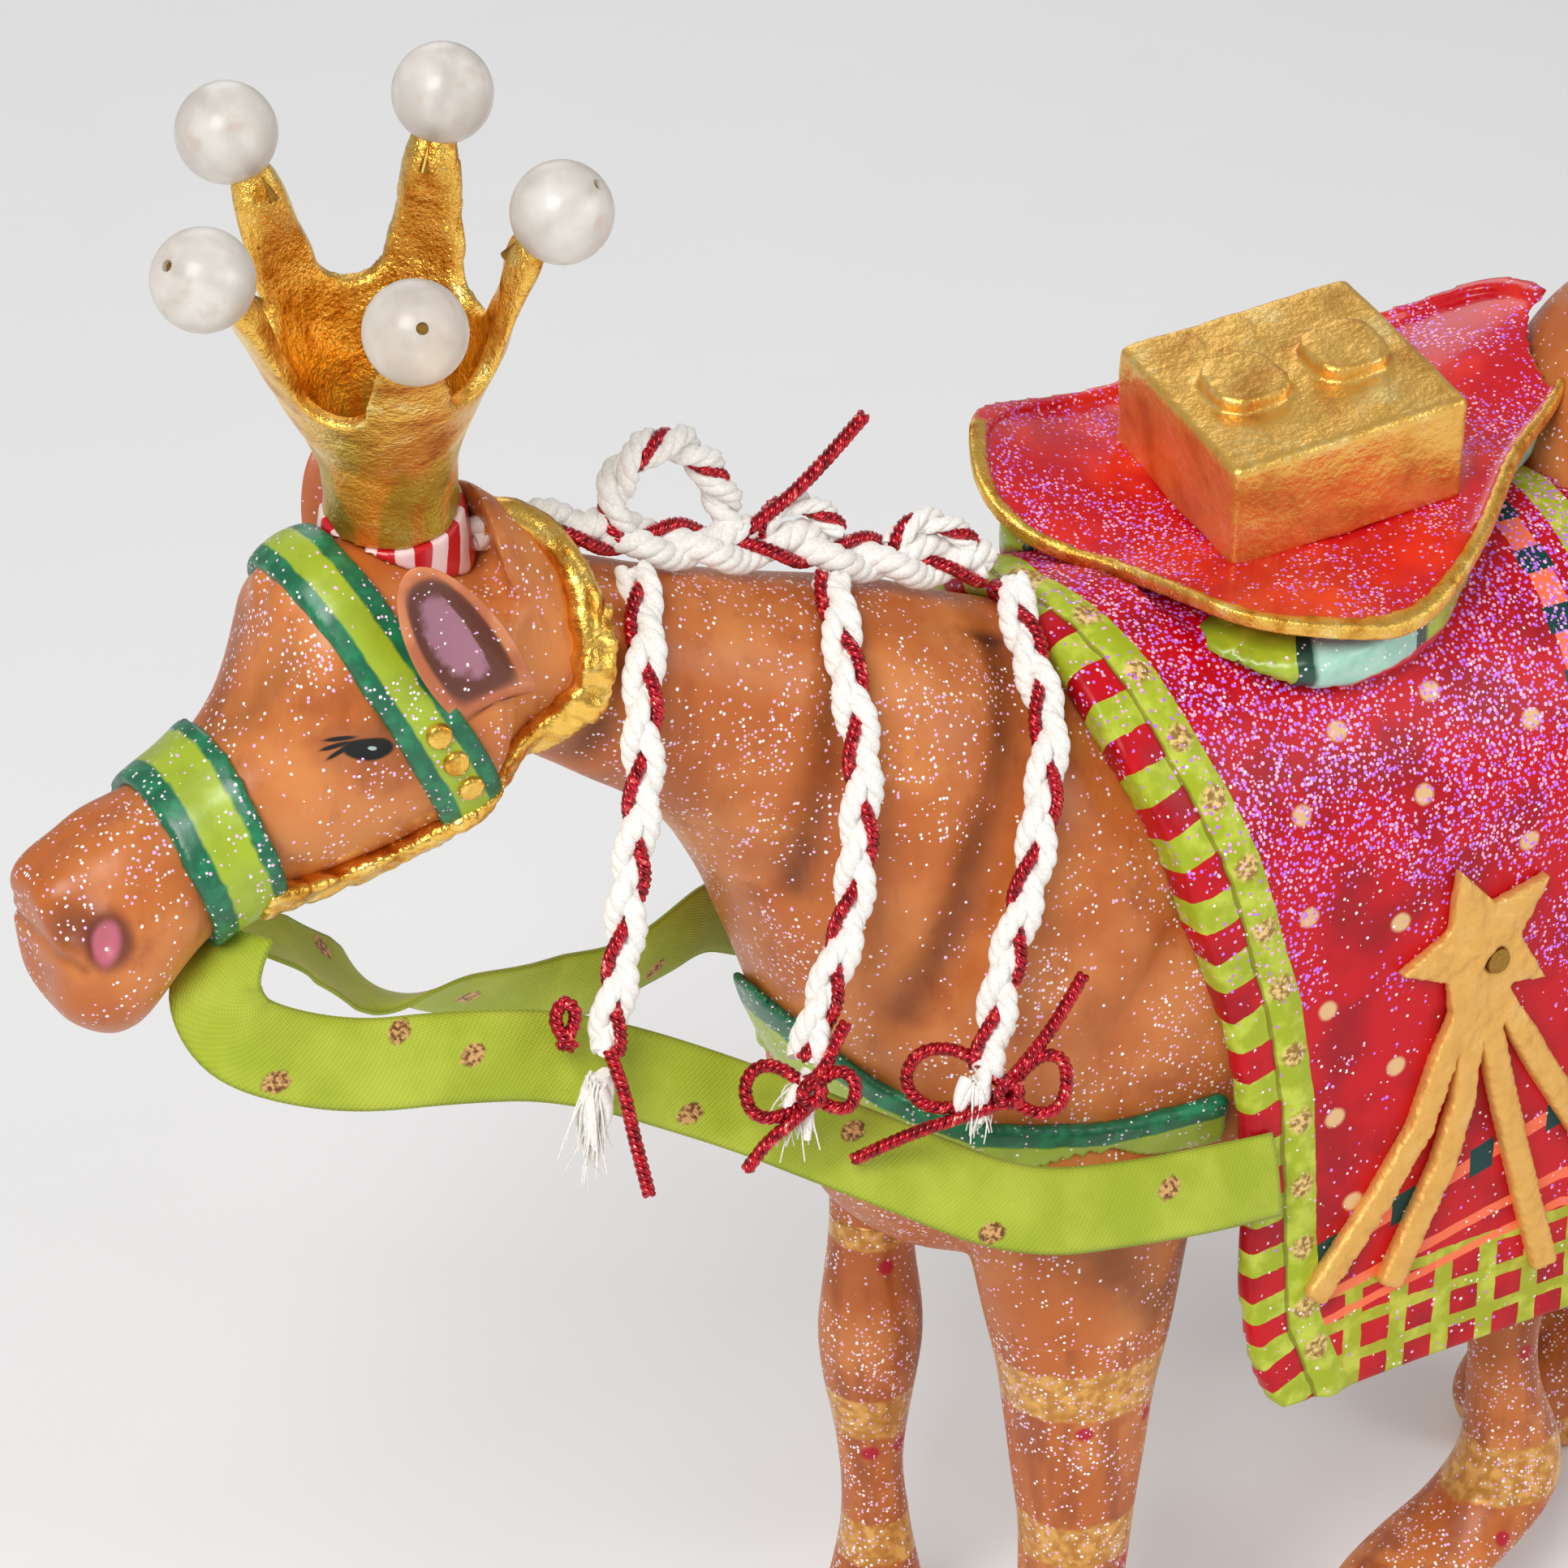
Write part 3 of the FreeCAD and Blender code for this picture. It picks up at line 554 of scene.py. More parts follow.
LEG_BANDS = {
    "foreleg_left": ([(56.7, 63.4, 0.0), (35.0, 40.8, 0.0), (12.0, 16.0, 0.0)],
                     [(-5.5, 55.0), (3.5, 54.6), (-4.0, 33.0), (2.0, 33.2)]),
    "foreleg_right": ([(64.3, 70.5, 0.0), (37.2, 43.2, 0.0), (18.6, 24.2, 0.0)],
                      [(-13.0, 35.0), (-9.0, 35.2), (-12.0, 62.0)]),
    "hindleg_left": ([(19.5, 26.8, 0.0), (-1.0, 10.5, 0.05), (52.0, 57.0, 0.0)],
                     [(63.0, 40.5), (51.0, 28.0), (59.0, 16.0), (66.0, 17.0)]),
    "hindleg_right": ([(19.5, 26.8, 0.0), (-1.0, 8.0, 0.03), (40.0, 45.0, 0.0)],
                      [(104.0, 34.0), (107.0, 30.0), (103.0, 52.0)]),
}


class HORSE_OT_skin(bpy.types.Operator):
    """Cast body, head and legs, one skin cut into its castings."""
    bl_idname = "horse.skin"
    bl_label = "Body, Head and Legs"

    def execute(self, context):
        nodes = ["torso_casting", "head_casting", "head_dowel", "leg_core_wires", *LEG_BANDS]
        whole = melted("whole_skin", nodes, 0.8, 14, replaces=False)
        sculpt_body(whole)
        paint = skin_finish()

        torso = bmesh.new()
        torso.from_mesh(whole.data)
        cut_away(torso, (0, 0, LEG_CUT_HEIGHT), (0, 0, -1))
        head = torso.copy()
        cut_away(torso, *HEAD_CUT)
        cut_away(head, HEAD_CUT[0], [-c for c in HEAD_CUT[1]])
        bmesh.ops.subdivide_edges(head, edges=head.edges[:], cuts=1, use_grid_fill=True)
        body = object_from("torso_skin", torso)
        face = object_from("head_skin", head)
        sculpt_head(face)
        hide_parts("torso_casting")
        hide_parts("head_casting")
        finished(body, "skin_paint", paint)
        finished(face, "skin_paint", paint)
        for name, (bands, dots) in LEG_BANDS.items():
            low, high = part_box(name)
            bm = bmesh.new()
            bm.from_mesh(whole.data)
            cut_away(bm, (0, 0, LEG_CUT_HEIGHT), (0, 0, 1))
            middle = (low + high) / 2
            island_near(bm, Vector((middle.x, middle.y, 30 * MM)))
            leg = object_from(name + "_skin", bm)
            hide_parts(name)
            finished(leg, "skin_paint", leg_finish(name + "_paint", bands, dots))
        bpy.data.objects.remove(whole)
        return {"FINISHED"}


TAIL_AXIS_X, LOCKS, LOCK_RELIEF, LOCK_TWIST = 115.0, 9, 0.4, 0.16


def hair_finish():
    f = Finish("Tail_Paint", coat_weight=0.15)
    strand = f.noise(1.2, 4.0, 0.6, at=f.vector(f.x, f.y, f.z * 0.1))
    colour = f.mix(f.rise(strand, 0.4, 0.65), srgb(96, 46, 26), srgb(196, 116, 70))
    colour, flakes = f.glitter(colour, 0.12, 0.42, GLITTER_PALE)
    return f.done(colour, 0.45 - 0.15 * flakes, 0.0, f.bump(strand, 0.6, 0.4))


class HORSE_OT_tail(bpy.types.Operator):
    """Cast tail with combed locks."""
    bl_idname = "horse.tail"
    bl_label = "Tail"

    def execute(self, context):
        tail, places, normals = melted_points("tail_locks", ["tail_casting"], 0.45, 4)
        turn = np.arctan2(places[:, 1], places[:, 0] - TAIL_AXIS_X)
        lock = np.cos(LOCKS * turn + places[:, 2] * LOCK_TWIST)
        places += normals * (LOCK_RELIEF * lock)[:, None]
        put_points(tail, places)
        finished(tail, "skin_paint", hair_finish())
        return {"FINISHED"}


def ear_finish():
    f = Finish("Ear_Paint", coat_weight=0.15)
    inside = f.attribute("inside")
    base = f.mottle(4.0, srgb(190, 104, 60), srgb(214, 134, 86))
    # painted shade: dark brown laid into the ear's cupped hollow, wherever the inside mark is high
    colour = f.mix(f.rise(inside, 0.1, 0.5), base, srgb(96, 42, 22))
    mauve = f.rise(inside + (f.noise(1.5) - 0.5) * 0.3, 0.66, 0.84)
    colour = f.mix(mauve, colour, srgb(166, 112, 130))
    colour, flakes = f.glitter(colour, 0.06, 0.4, GLITTER_PALE)
    return f.done(colour, 0.45, 0.0, f.bump(f.noise(1.0, 4.0) + flakes, 0.4, 0.15))


EAR_LENGTH, EAR_HALF_WIDTH, EAR_WIDEST = 19.5, 4.9, 0.40
# each ear: its root, its long direction and the way that its hollow faces
EAR_SEATS = {
    "ear_left": ((-73.2, -13.2, 161.6), (-0.36, -0.02, 0.93), (-0.35, -0.90, 0.16)),
    "ear_right": ((-73.2, 12.2, 161.6), (-0.30, 0.12, 0.95), (-0.35, 0.90, 0.16)),
}


class HORSE_OT_ears(bpy.types.Operator):
    """Two leaf-shaped ears, each folded round a mauve hollow."""
    bl_idname = "horse.ears"
    bl_label = "Ears"

    def execute(self, context):
        paint = ear_finish()
        for name, (root, up, out) in EAR_SEATS.items():
            up, out = Vector(up).normalized(), Vector(out).normalized()
            side = up.cross(out).normalized()
            out = side.cross(up).normalized()
            bm = bmesh.new()
            bmesh.ops.create_uvsphere(bm, u_segments=48, v_segments=36, radius=1.0)
            inside = bm.verts.layers.float.new("inside")
            for v in bm.verts:
                x, y, z = v.co
                t = (z + 1) / 2
                lift = (t - EAR_WIDEST) / (0.60 if t > EAR_WIDEST else -0.75)
                wide = EAR_HALF_WIDTH * math.sqrt(max(0.0, 1 - lift ** 2))
                ring = max(0.05, math.sqrt(max(0.0, 1 - z ** 2)))
                across, front = x / ring, max(0.0, y) / ring
                cup = max(0.0, 1 - (across / 0.8) ** 2) * max(0.0, 1 - ((t - 0.5) / 0.44) ** 2)
                v[inside] = min(math.sqrt(cup) * (front > 0.2), 1.0 if across < 0.3 else 0.5)
                rim = 2.9 * across ** 2 * math.sin(math.pi * min(1.0, 0.12 + 0.88 * t)) ** 0.8
                depth = 1.1 * y + rim + 1.4 * t ** 3 - 0.3 - 0.9 * cup * front
                v.co = (Vector(root) + side * (wide * across - 2.2 * t)
                        + up * (EAR_LENGTH * t - 1.0) + out * depth) * MM
            bmesh.ops.recalc_face_normals(bm, faces=bm.faces)
            ear = smooth_shaded(object_from(name + "_leaf", bm))
            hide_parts(name)
            finished(ear, "skin_paint", paint)
        return {"FINISHED"}


# ------------------------------------------------------------------ straps and rope trim
# each strap: its middle line on the side view, its breadth, and where its painted edges start
STRAPS = {
    "noseband": (((-104.0, 162), (-101.5, 150), (-95.0, 132)), 8.0, -0.62, 0.45),
    "browband": (((-90.0, 180), (-83.0, 165), (-73.5, 146)), 6.5, -0.45, 0.5),
    "chest_strap": (((13, 92.5), (-4, 92.5), (-19, 95), (-29, 100), (-38, 109), (-44, 122)),
                    6.0, -3.0, 0.25),
}
ROPE_TOP = ((-60.6, -9.8, 158.5), (-60.6, -9.6, 162.5), (-59.9, -8.2, 166.2), (-60.0, -5.6, 169.4),
            (-61.6, -3.6, 172.6), (-64.0, -2.0, 174.8), (-67.5, -0.8, 175.0))
ROPE_RADIUS, ROPE_LUMPS = 1.9, ((0.28, 4.2, 8), (0.10, 2.0, 9))


def put_across(obj, line, breadth):
    """Marks each point's place across a strap drawn on the side view, -1 to 1."""
    places, _ = points_of(obj)
    flat = places.copy()
    flat[:, 1] = 0
    gap, _ = distance_to_line(flat, [(x, 0, z) for x, z in line])
    sign = np.zeros(len(flat))
    nearest = np.full(len(flat), 1e9)
    for (x0, z0), (x1, z1) in zip(line, line[1:]):
        mid = np.array([(x0 + x1) / 2, 0, (z0 + z1) / 2])
        away = np.linalg.norm(flat - mid, axis=1)
        cross = (flat[:, 0] - x0) * (z1 - z0) - (flat[:, 2] - z0) * (x1 - x0)
        closer = away < nearest
        nearest[closer], sign[closer] = away[closer], np.sign(cross)[closer]
    put_value(obj, "across", gap * sign / (breadth / 2))


class HORSE_OT_straps(bpy.types.Operator):
    """Raised halter straps, chest strap, rope trim and studs."""
    bl_idname = "horse.straps"
    bl_label = "Straps and Trim"

    def execute(self, context):
        for name, (line, breadth, *edges) in STRAPS.items():
            strap = melted(name + "_strap", [name], 0.35, 3)
            grow(strap, 0.36, (0.1, 6.0, 5))
            put_across(strap, line, breadth)
            finished(strap, "strap_lime", strap_finish(name + "_paint", *edges))
        gold = gold_leaf("Trim_Gold", 0.6)
        trim = melted("halter_rope", ["halter_trim"], 0.32, 2)
        grow(trim, 0.45, *ROPE_LUMPS)
        finished(trim, "trim_gold", gold)
        bm = bmesh.new()
        tubes(bm, [spaced(route(ROPE_TOP), 0.5)[0]], ROPE_RADIUS, 0, 6)
        top = smooth_shaded(object_from("halter_rope_top", bm))
        grow(top, 0.0, *ROPE_LUMPS)
        finished(top, "trim_gold", gold)
        studs, places, normals = melted_points("browband_stud_set", ["browband_studs"], 0.18, 3)
        put_points(studs, places + normals * 0.3 + (-1.1, 0, -0.3))
        finished(studs, "trim_gold", gold)
        return {"FINISHED"}


# ------------------------------------------------------------------ crown
CROWN_BASE = Vector((-76.4, 1.7, 177.6))
CROWN_AXIS = Vector((-0.175, -0.30, 0.945)).normalized()


BAND_STRIPES = 11
# a tine is swollen up to a bead's skin, this far from the bead's middle
BEAD_SKIN, TINE_REACH, TINE_SWELL = 4.9, 10.0, 12.5


def turn_about_crown(f):
    return f.maths("ARCTAN2", f.y - CROWN_BASE.y, f.x - CROWN_BASE.x)


def crown_finish():
    """Crumpled gold leaf, with amber and green glaze streaks on the lower cup."""
    f = Finish("Crown_Gold")
    height = sum((here - base) * way
                 for here, base, way in zip((f.x, f.y, f.z), CROWN_BASE, CROWN_AXIS))
    bright, fine = leaf_colour(f, 0.8)
    streak = f.noise(1.6, 2.0, at=f.vector(turn_about_crown(f) * 1.6, height * 0.05, 0.0))
    low = f.rise(height + (f.noise(2.0) - 0.5) * 6.0, 15.0, 8.0)
    glaze = f.mix(f.rise(streak, 0.40, 0.48), srgb(206, 118, 14), srgb(168, 150, 26))
    glaze = f.mix(f.rise(streak, 0.56, 0.62), glaze, srgb(236, 148, 30))
    colour = f.mix(low * 0.7, bright, glaze)
    dents = f.noise(1.5, 4.0, 0.6)
    return f.done(colour, 0.16 + 0.12 * fine + low * 0.12, 1.0 - 0.3 * low,
                  f.bump(dents + fine * 0.6, 1.0, 0.34))


def bead_finish():
    f = Finish("Bead_Frosted", transmission_weight=0.45, ior=1.35, coat_weight=0.4,
               coat_roughness=0.2)
    cloud = f.noise(4.5, 3.0)
    colour = f.mix(f.rise(cloud, 0.35, 0.7), srgb(228, 222, 214), srgb(250, 246, 240))
    stain = f.rise(f.noise(3.2, 4.0), 0.58, 0.76) * 0.45
    colour = f.mix(stain, colour, srgb(214, 176, 146))
    return f.done(colour, 0.38 + 0.12 * cloud, 0.0, f.bump(f.noise(0.9, 3.0), 0.12, 0.06))


def stripe_finish():
    f = Finish("Band_Stripes", coat_weight=0.4, coat_roughness=0.2)
    turn = turn_about_crown(f) * BAND_STRIPES + f.noise(4.0) - 0.5
    red = f.rise(f.maths("SINE", turn), -0.1, 0.1)
    colour = f.mix(red, srgb(246, 214, 212), srgb(204, 16, 30))
    return f.done(colour, 0.3, 0.0, f.bump(f.noise(1.2, 3.0), 0.3, 0.12))


def brass_finish():
    f = Finish("Brass_Pin")
    drawn = f.noise(0.4, 3.0)
    return f.done(f.mix(drawn, srgb(120, 84, 30), srgb(196, 150, 70)), 0.3 + 0.2 * drawn, 1.0)


class HORSE_OT_crown(bpy.types.Operator):
    """Gilded crown with its striped band, five beads and their pins."""
    bl_idname = "horse.crown"
    bl_label = "Crown"

    def execute(self, context):
        crown, places, normals = melted_points("crown_cup", ["crown"], 0.38, 4)
        places += normals * (0.1 + 0.14 * wobble(places, 6.0, 21))[:, None]
        for k in range(1, 6):
            low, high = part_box("crown_bead_%d" % k)
            reach = np.array((low + high) / 2) / MM - places
            far = np.linalg.norm(reach, axis=1)
            draw = np.clip((TINE_REACH - far) / 4.2, 0, 1) ** 1.3 * 2.0
            places += normals * (0.75 * np.clip((TINE_SWELL - far) / 5.0, 0, 1))[:, None]
            draw = np.minimum(draw, np.maximum(far - BEAD_SKIN, 0))
            places += reach / far[:, None] * draw[:, None]
        put_points(crown, places)
        finished(crown, "crown_gold", crown_finish())
        band = melted("crown_ring", ["crown_band"], 0.4, 3)
        finished(band, "band_stripes", stripe_finish())
        frosted, brass = bead_finish(), brass_finish()
        for k in range(1, 6):
            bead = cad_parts["crown_bead_%d" % k]
            painted(bead, frosted)
        for node in ("bead_pins", "star_pins", "crown_dowel", "head_dowel", "leg_core_wires"):
            painted(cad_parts[node], brass)
        return {"FINISHED"}


# ------------------------------------------------------------------ saddle, pad and casket
SADDLE_BASE = np.array((36.4, 1.8, 156.0))
SADDLE_UP = np.array((-0.14, -0.19, 0.972)) / np.linalg.norm((-0.14, -0.19, 0.972))
SADDLE_AHEAD = np.array((1.0, 0, 0)) - SADDLE_UP * SADDLE_UP[0]
SADDLE_AHEAD /= np.linalg.norm(SADDLE_AHEAD)
SADDLE_SIDE = np.cross(SADDLE_UP, SADDLE_AHEAD)


def saddle_local(places):
    gap = places - SADDLE_BASE
    return gap @ SADDLE_AHEAD, gap @ SADDLE_SIDE, gap @ SADDLE_UP


def peak(turn, degrees, breadth):
    """1 at one bearing from the saddle's middle, falling off over a breadth in radians."""
    return np.exp(-((turn - math.radians(degrees)) / breadth) ** 2)


def dish_finish():
    """Glossy red with a gilded, slightly crackled rim and drifts of pink glitter."""
    f = Finish("Saddle_Red", coat_roughness=0.12, specular_ior_level=0.3)
    rim = f.rise(f.attribute("rim") + (f.noise(1.6, 4.0) - 0.5) * 0.3, 0.4, 0.6)
    red = f.mottle(9.0, own_colour("red"), srgb(232, 44, 28), detail=3.0)
    spread = f.rise(f.noise(12.0, 3.0), 0.42, 0.62)
    red, flakes = f.glitter(red, 0.10 + 0.75 * spread, 0.44, GLITTER_PINK)
    gold, fine = leaf_colour(f, 0.6)
    colour = f.mix(rim, red, gold)
    height = f.noise(1.4, 4.0) * 0.3 + flakes * 0.5 + rim * fine
    return f.done(colour, 0.32 - 0.1 * flakes, rim * 0.95, f.bump(height, 0.6, 0.25),
                  0.5 * (1 - rim))


def pad_finish():
    """Lime and mint segments with dark green dividers, all round the pad."""
    f = Finish("Pad_Segments", coat_weight=0.4, coat_roughness=0.2)
    turn = f.attribute("turn") + (f.noise(6.0) - 0.5) * 0.12
    part = turn / 4.1
    mint = (part % 2.0) > 1.0
    lime = f.mottle(4.0, srgb(150, 172, 34), srgb(184, 204, 52))
    pale = f.mottle(4.0, srgb(150, 204, 182), srgb(180, 222, 202))
    colour = f.mix(mint, lime, pale)
    divider = f.rise(part % 1.0, 0.16, 0.10)
    colour = f.mix(divider, colour, srgb(10, 66, 50))
    colour, flakes = f.glitter(colour, 0.06, 0.4, GLITTER_PALE)
    low = f.rise(f.attribute("drop") + (f.noise(4.0) - 0.5) * 1.5, 6.2, 6.8)
    colour = f.mix(low, colour, own_colour("red"))
    height = f.noise(1.6, 4.0) - divider * 0.3
    return f.done(colour, 0.36 - 0.1 * flakes, 0.0, f.bump(height, 0.4, 0.2))


class HORSE_OT_saddle(bpy.types.Operator):
    """Wavy saddle dish, its pad, and the gilded gift casket on it."""
    bl_idname = "horse.saddle"
    bl_label = "Saddle and Casket"

    def execute(self, context):
        dish, places, normals = melted_points("saddle_dish_shell", ["saddle_dish"], 0.5, 5)
        u, v, w = saddle_local(places)
        turn = np.arctan2(v, u)
        near = np.clip((6.0 - v) / 5.0, 0, 1) + 1.3 * peak(turn, 168, 0.35)
        spoke = (places - SADDLE_BASE) - np.outer(w, SADDLE_UP)
        spoke /= np.linalg.norm(spoke, axis=1)[:, None]
        facing = (normals * spoke).sum(axis=1)
        outer = np.clip((np.hypot(u, v * 1.3) - 16) / 6, 0, 1)
        gilt = np.maximum((w - 1.2) / 0.3, (facing - 0.3) / 0.3 * outer)
        put_value(dish, "rim", np.clip(gilt, 0, 1) * np.clip(near, 0, 1))
        places += SADDLE_UP * (outer * 0.6 * np.clip(0.6 - w, 0, None))[:, None]
        reach = np.clip(np.hypot(u, v) / 32.0, 0, 1.25) ** 3
        curl = 4.2 * peak(turn, 150, 0.34)
        ripple = 0.7 * np.sin(5 * turn + 0.6) + 0.4 * np.sin(9 * turn)
        dip = -1.6 * peak(turn, -100, 0.3)
        lift = 2.6 * peak(turn, -138, 0.55)
        places += SADDLE_UP * (reach * (curl + ripple + dip + lift))[:, None]
        put_points(dish, places)
        finished(dish, "dish_red", dish_finish())

        pad, places, normals = melted_points("saddle_pad_body", ["saddle_pad"], 0.7, 8)
        u, v, w = saddle_local(places)
        put_value(pad, "drop", -w)
        put_value(pad, "turn", np.arctan2(v * 1.3, u) * 10.0)
        near = peak(np.arctan2(v, u), -142, math.radians(56))
        outward = normals - SADDLE_UP * (normals @ SADDLE_UP)[:, None]
        places += outward * (near * 4.0)[:, None]
        places += normals * (0.3 + 0.35 * wobble(places, 12.0, 31))[:, None]
        put_points(pad, places)
        finished(pad, "pad_segments", pad_finish())

        casket = melted("gift_casket_box", ["gift_casket", "casket_bosses"], 0.4, 5)
        grow(casket, 0.12, (0.11, 8.0, 41))
        finished(casket, "casket_gold", gold_leaf("Casket_Gold", 1.4, 0.35))
        return {"FINISHED"}


# ------------------------------------------------------------------ blanket and stars
ARCH_HALF, ARCH_SPRING, ARCH_TOP, HEM = 29.7, 120.0, 152.0, 54.0
CHECK_WIDTH, STRIPE_WIDTH, CHECK_BEAT, HEM_HEIGHT = 4.6, 8.9, 8.5, 14.8
FRONT_EDGE = ((18, 53), (13.5, 64), (12.2, 78), (11, 94), (8.6, 106), (5, 117), (2, 127),
              (-2, 138), (-4.5, 148))


def cloth_height(y, z):
    """Distance up the cloth from the floor's level, over the arch of the back."""
    rise = ARCH_TOP - ARCH_SPRING
    turns = np.linspace(0, math.pi / 2, 240)
    run_y, run_z = ARCH_HALF * np.cos(turns), ARCH_SPRING + rise * np.sin(turns)
    run = np.concatenate([[0], np.cumsum(np.hypot(np.diff(run_y), np.diff(run_z)))])
    turn = np.arctan2((z - ARCH_SPRING) / rise, np.abs(y) / ARCH_HALF)
    return np.where(z < ARCH_SPRING, z, ARCH_SPRING + np.interp(turn, turns, run))


BLANKET_DOTS = (
    (24.1, 138.6), (17.3, 130.7), (33.8, 129.1), (17.8, 118.6), (30.6, 114.4), (21.1, 105.9),
    (31.2, 95.7), (23.0, 91.5), (26.2, 79.5), (49.6, 134.0), (48.3, 119.9), (37.3, 140.1))


def blanket_finish():
    """Red cloth with a checked edge, lime stripe, plaid hem, painted lines and glitter."""
    f = Finish("Blanket_Red", coat_roughness=0.3, specular_ior_level=0.2)
    shake = (f.noise(3.0, 3.0) - 0.5) * 0.9
    d, t = f.attribute("front") + shake * 0.6, f.attribute("front_run") + shake
    x, up = f.attribute("cloth_x") + shake * 0.6, f.attribute("cloth_up") + shake * 0.6
    red = f.mottle(8.0, own_colour("red"), srgb(160, 0, 20))
    lime = f.mottle(2.6, srgb(162, 178, 34), srgb(196, 208, 72))
    gold = f.mottle(0.7, srgb(150, 112, 50), srgb(234, 202, 130), 0.4, 0.6)
    teal, coral = srgb(8, 62, 60), srgb(252, 118, 78)

    folded = abs(x - 57.0)
    spots = f.cells(12.5, at=f.vector(x, up, 0.0))
    dotted = (spots < 0.1) * (x > 70.0) * (up > 84.0)
    for dot in BLANKET_DOTS:
        dotted = f.ellipse(x, up, dot, (1.25, 1.15), 0.0, 0.25) + dotted
    colour = f.mix(dotted, red, srgb(226, 184, 132))
    hem = up - HEM
    columns = ((x % 6.5) < 2.6) * (hem < HEM_HEIGHT)
    rows = ((hem % 4.9) > 3.3) * (hem < HEM_HEIGHT)
    colour = f.mix(f.maths("MAXIMUM", columns * 0.92, rows * 0.88), colour, lime)
    for level, slope, half in ((82.8, 0.27, 0.95), (73.6, 0.175, 0.75), (69.6, 0.16, 0.6)):
        off = abs(up - level + folded * slope)
        colour = f.mix((off < half) * 0.92, colour, coral)
    off = abs(up - 82.8 + folded * 0.27)
    colour = f.mix((off < 1.9) * (((x - 21.0) % 11.0) < 3.4), colour, teal)
    over = up > 126.0
    dashed = over * ((up % 7.5) < 3.2)
    for middle, half, where, paint in ((57.5, 1.7, over, coral), (57.5, 2.1, dashed, teal),
                                       (64.5, 2.2, over, lime)):
        colour = f.mix((abs(x - middle) < half) * where, colour, paint)
    beat = t / CHECK_BEAT + 0.9 * f.rise(t, 0.0, 40.0)
    square = (beat % 1.0) < 0.5
    colour = f.mix(d < CHECK_WIDTH, colour, f.mix(square, red, lime))
    stripe = (d > CHECK_WIDTH) * (d < STRIPE_WIDTH)
    colour = f.mix(stripe, colour, lime)
    dab = f.ellipse(t % CHECK_BEAT, d, (6.2, 6.9), (1.5, 1.6), 0.0, 0.3)
    colour = f.mix(dab, colour, gold)
    line = f.rise(abs(d - CHECK_WIDTH), 0.35, 0.1)
    colour = f.mix(line * 0.6, colour, srgb(110, 80, 16))
    spread = f.rise(f.noise(10.0, 3.0) + f.rise(up, 84.0, 150.0) * 0.36, 0.56, 0.82)
    thin = 1 - 0.8 * (d < STRIPE_WIDTH)
    colour, flakes = f.glitter(colour, (0.02 + 0.95 * spread) * thin, 0.52, GLITTER_PINK)
    dusty = 0.02 + 0.10 * f.rise(f.noise(4.0), 0.5, 0.7)
    colour, dust = f.glitter(colour, dusty, 0.45, GLITTER_PALE)
    height = f.noise(1.2, 4.0) * 0.4 + flakes * 0.8 + dust * 0.4 + dab * 0.5 - line * 1.2
    return f.done(colour, 0.42 - 0.18 * flakes, 0.0, f.bump(height, 0.6, 0.25), 0.15 + 0.3 * flakes)


STAR = (41.6, 108.6)
STAR_TIPS = [math.radians(110 + 72 * k) for k in range(5)]


class HORSE_OT_blanket(bpy.types.Operator):
    """Thick cast saddle blanket with a gilded star and comet tails on each side."""
    bl_idname = "horse.blanket"
    bl_label = "Blanket and Stars"

    def execute(self, context):
        cloth, places, normals = melted_points("saddle_blanket_shell", ["saddle_blanket"], 0.9, 3)
        up = cloth_height(places[:, 1], places[:, 2])
        flat = np.stack([places[:, 0], 0 * up, up], axis=1)
        x, z = np.array(FRONT_EDGE, float).T
        above = np.clip((z - ARCH_SPRING) / (ARCH_TOP - ARCH_SPRING), 0, 1)
        edge = np.stack([x, 0 * x, cloth_height(ARCH_HALF * np.sqrt(1 - above ** 2), z)], axis=1)
        edge = [*edge, (-7.5, 0, 168.0)]
        gap, run = distance_to_line(flat, edge)
        put_value(cloth, "front", gap)
        put_value(cloth, "front_run", run)
        put_value(cloth, "cloth_x", places[:, 0])
        put_value(cloth, "cloth_up", up)
        outer = np.abs(places[:, 1]) > ARCH_HALF - 1.5
        piping = np.exp(-((gap - 6.8) / 1.6) ** 2) * 0.55 - np.exp(-((gap - 4.5) / 0.5) ** 2) * 0.3
        places += normals * ((outer | (places[:, 2] > ARCH_SPRING)) * piping
                             + 0.1 * wobble(places, 14.0, 51))[:, None]
        put_points(cloth, places)
        finished(cloth, "blanket_red", blanket_finish())
        gold = gold_leaf("Star_Gold", 0.8, 0.8)
        for side, name in ((-1, "star_left"), (1, "star_right")):
            star, places, normals = melted_points(name + "_relief", [name], 0.42, 3)
            dx, dz = places[:, 0] - STAR[0], places[:, 2] - STAR[1]
            ridge = np.zeros(len(places))
            for tip in STAR_TIPS:
                away = dx * math.cos(tip) + dz * math.sin(tip)
                off = np.abs(-dx * math.sin(tip) + dz * math.cos(tip))
                crest = np.clip(1 - off / 2.8, 0, 1) * np.clip(1 - away / 15, 0, 1)
                ridge = np.maximum(ridge, (away > 0) * crest)
            facing = np.clip(normals[:, 1] * side, 0, 1)
            grain = 0.16 * wobble(places, 2.4, 61) + 0.10 * wobble(places, 1.1, 62)
            places += normals * (0.45 * np.clip((-9 - dz) / 4, 0, 1))[:, None]
            places[:, 1] += side * facing * (0.9 * ridge + grain)
            put_points(star, places)
            finished(star, "star_gold", gold)
        return {"FINISHED"}


# ------------------------------------------------------------------ braids, bows and reins
def curve_mesh(curve):
    """The mesh that a curve makes; the curve is removed."""
    holder = link(bpy.data.objects.new(curve.name, curve))
    mesh = mesh_made_by(holder)
    bpy.data.objects.remove(holder)
    bpy.data.curves.remove(curve)
    return mesh


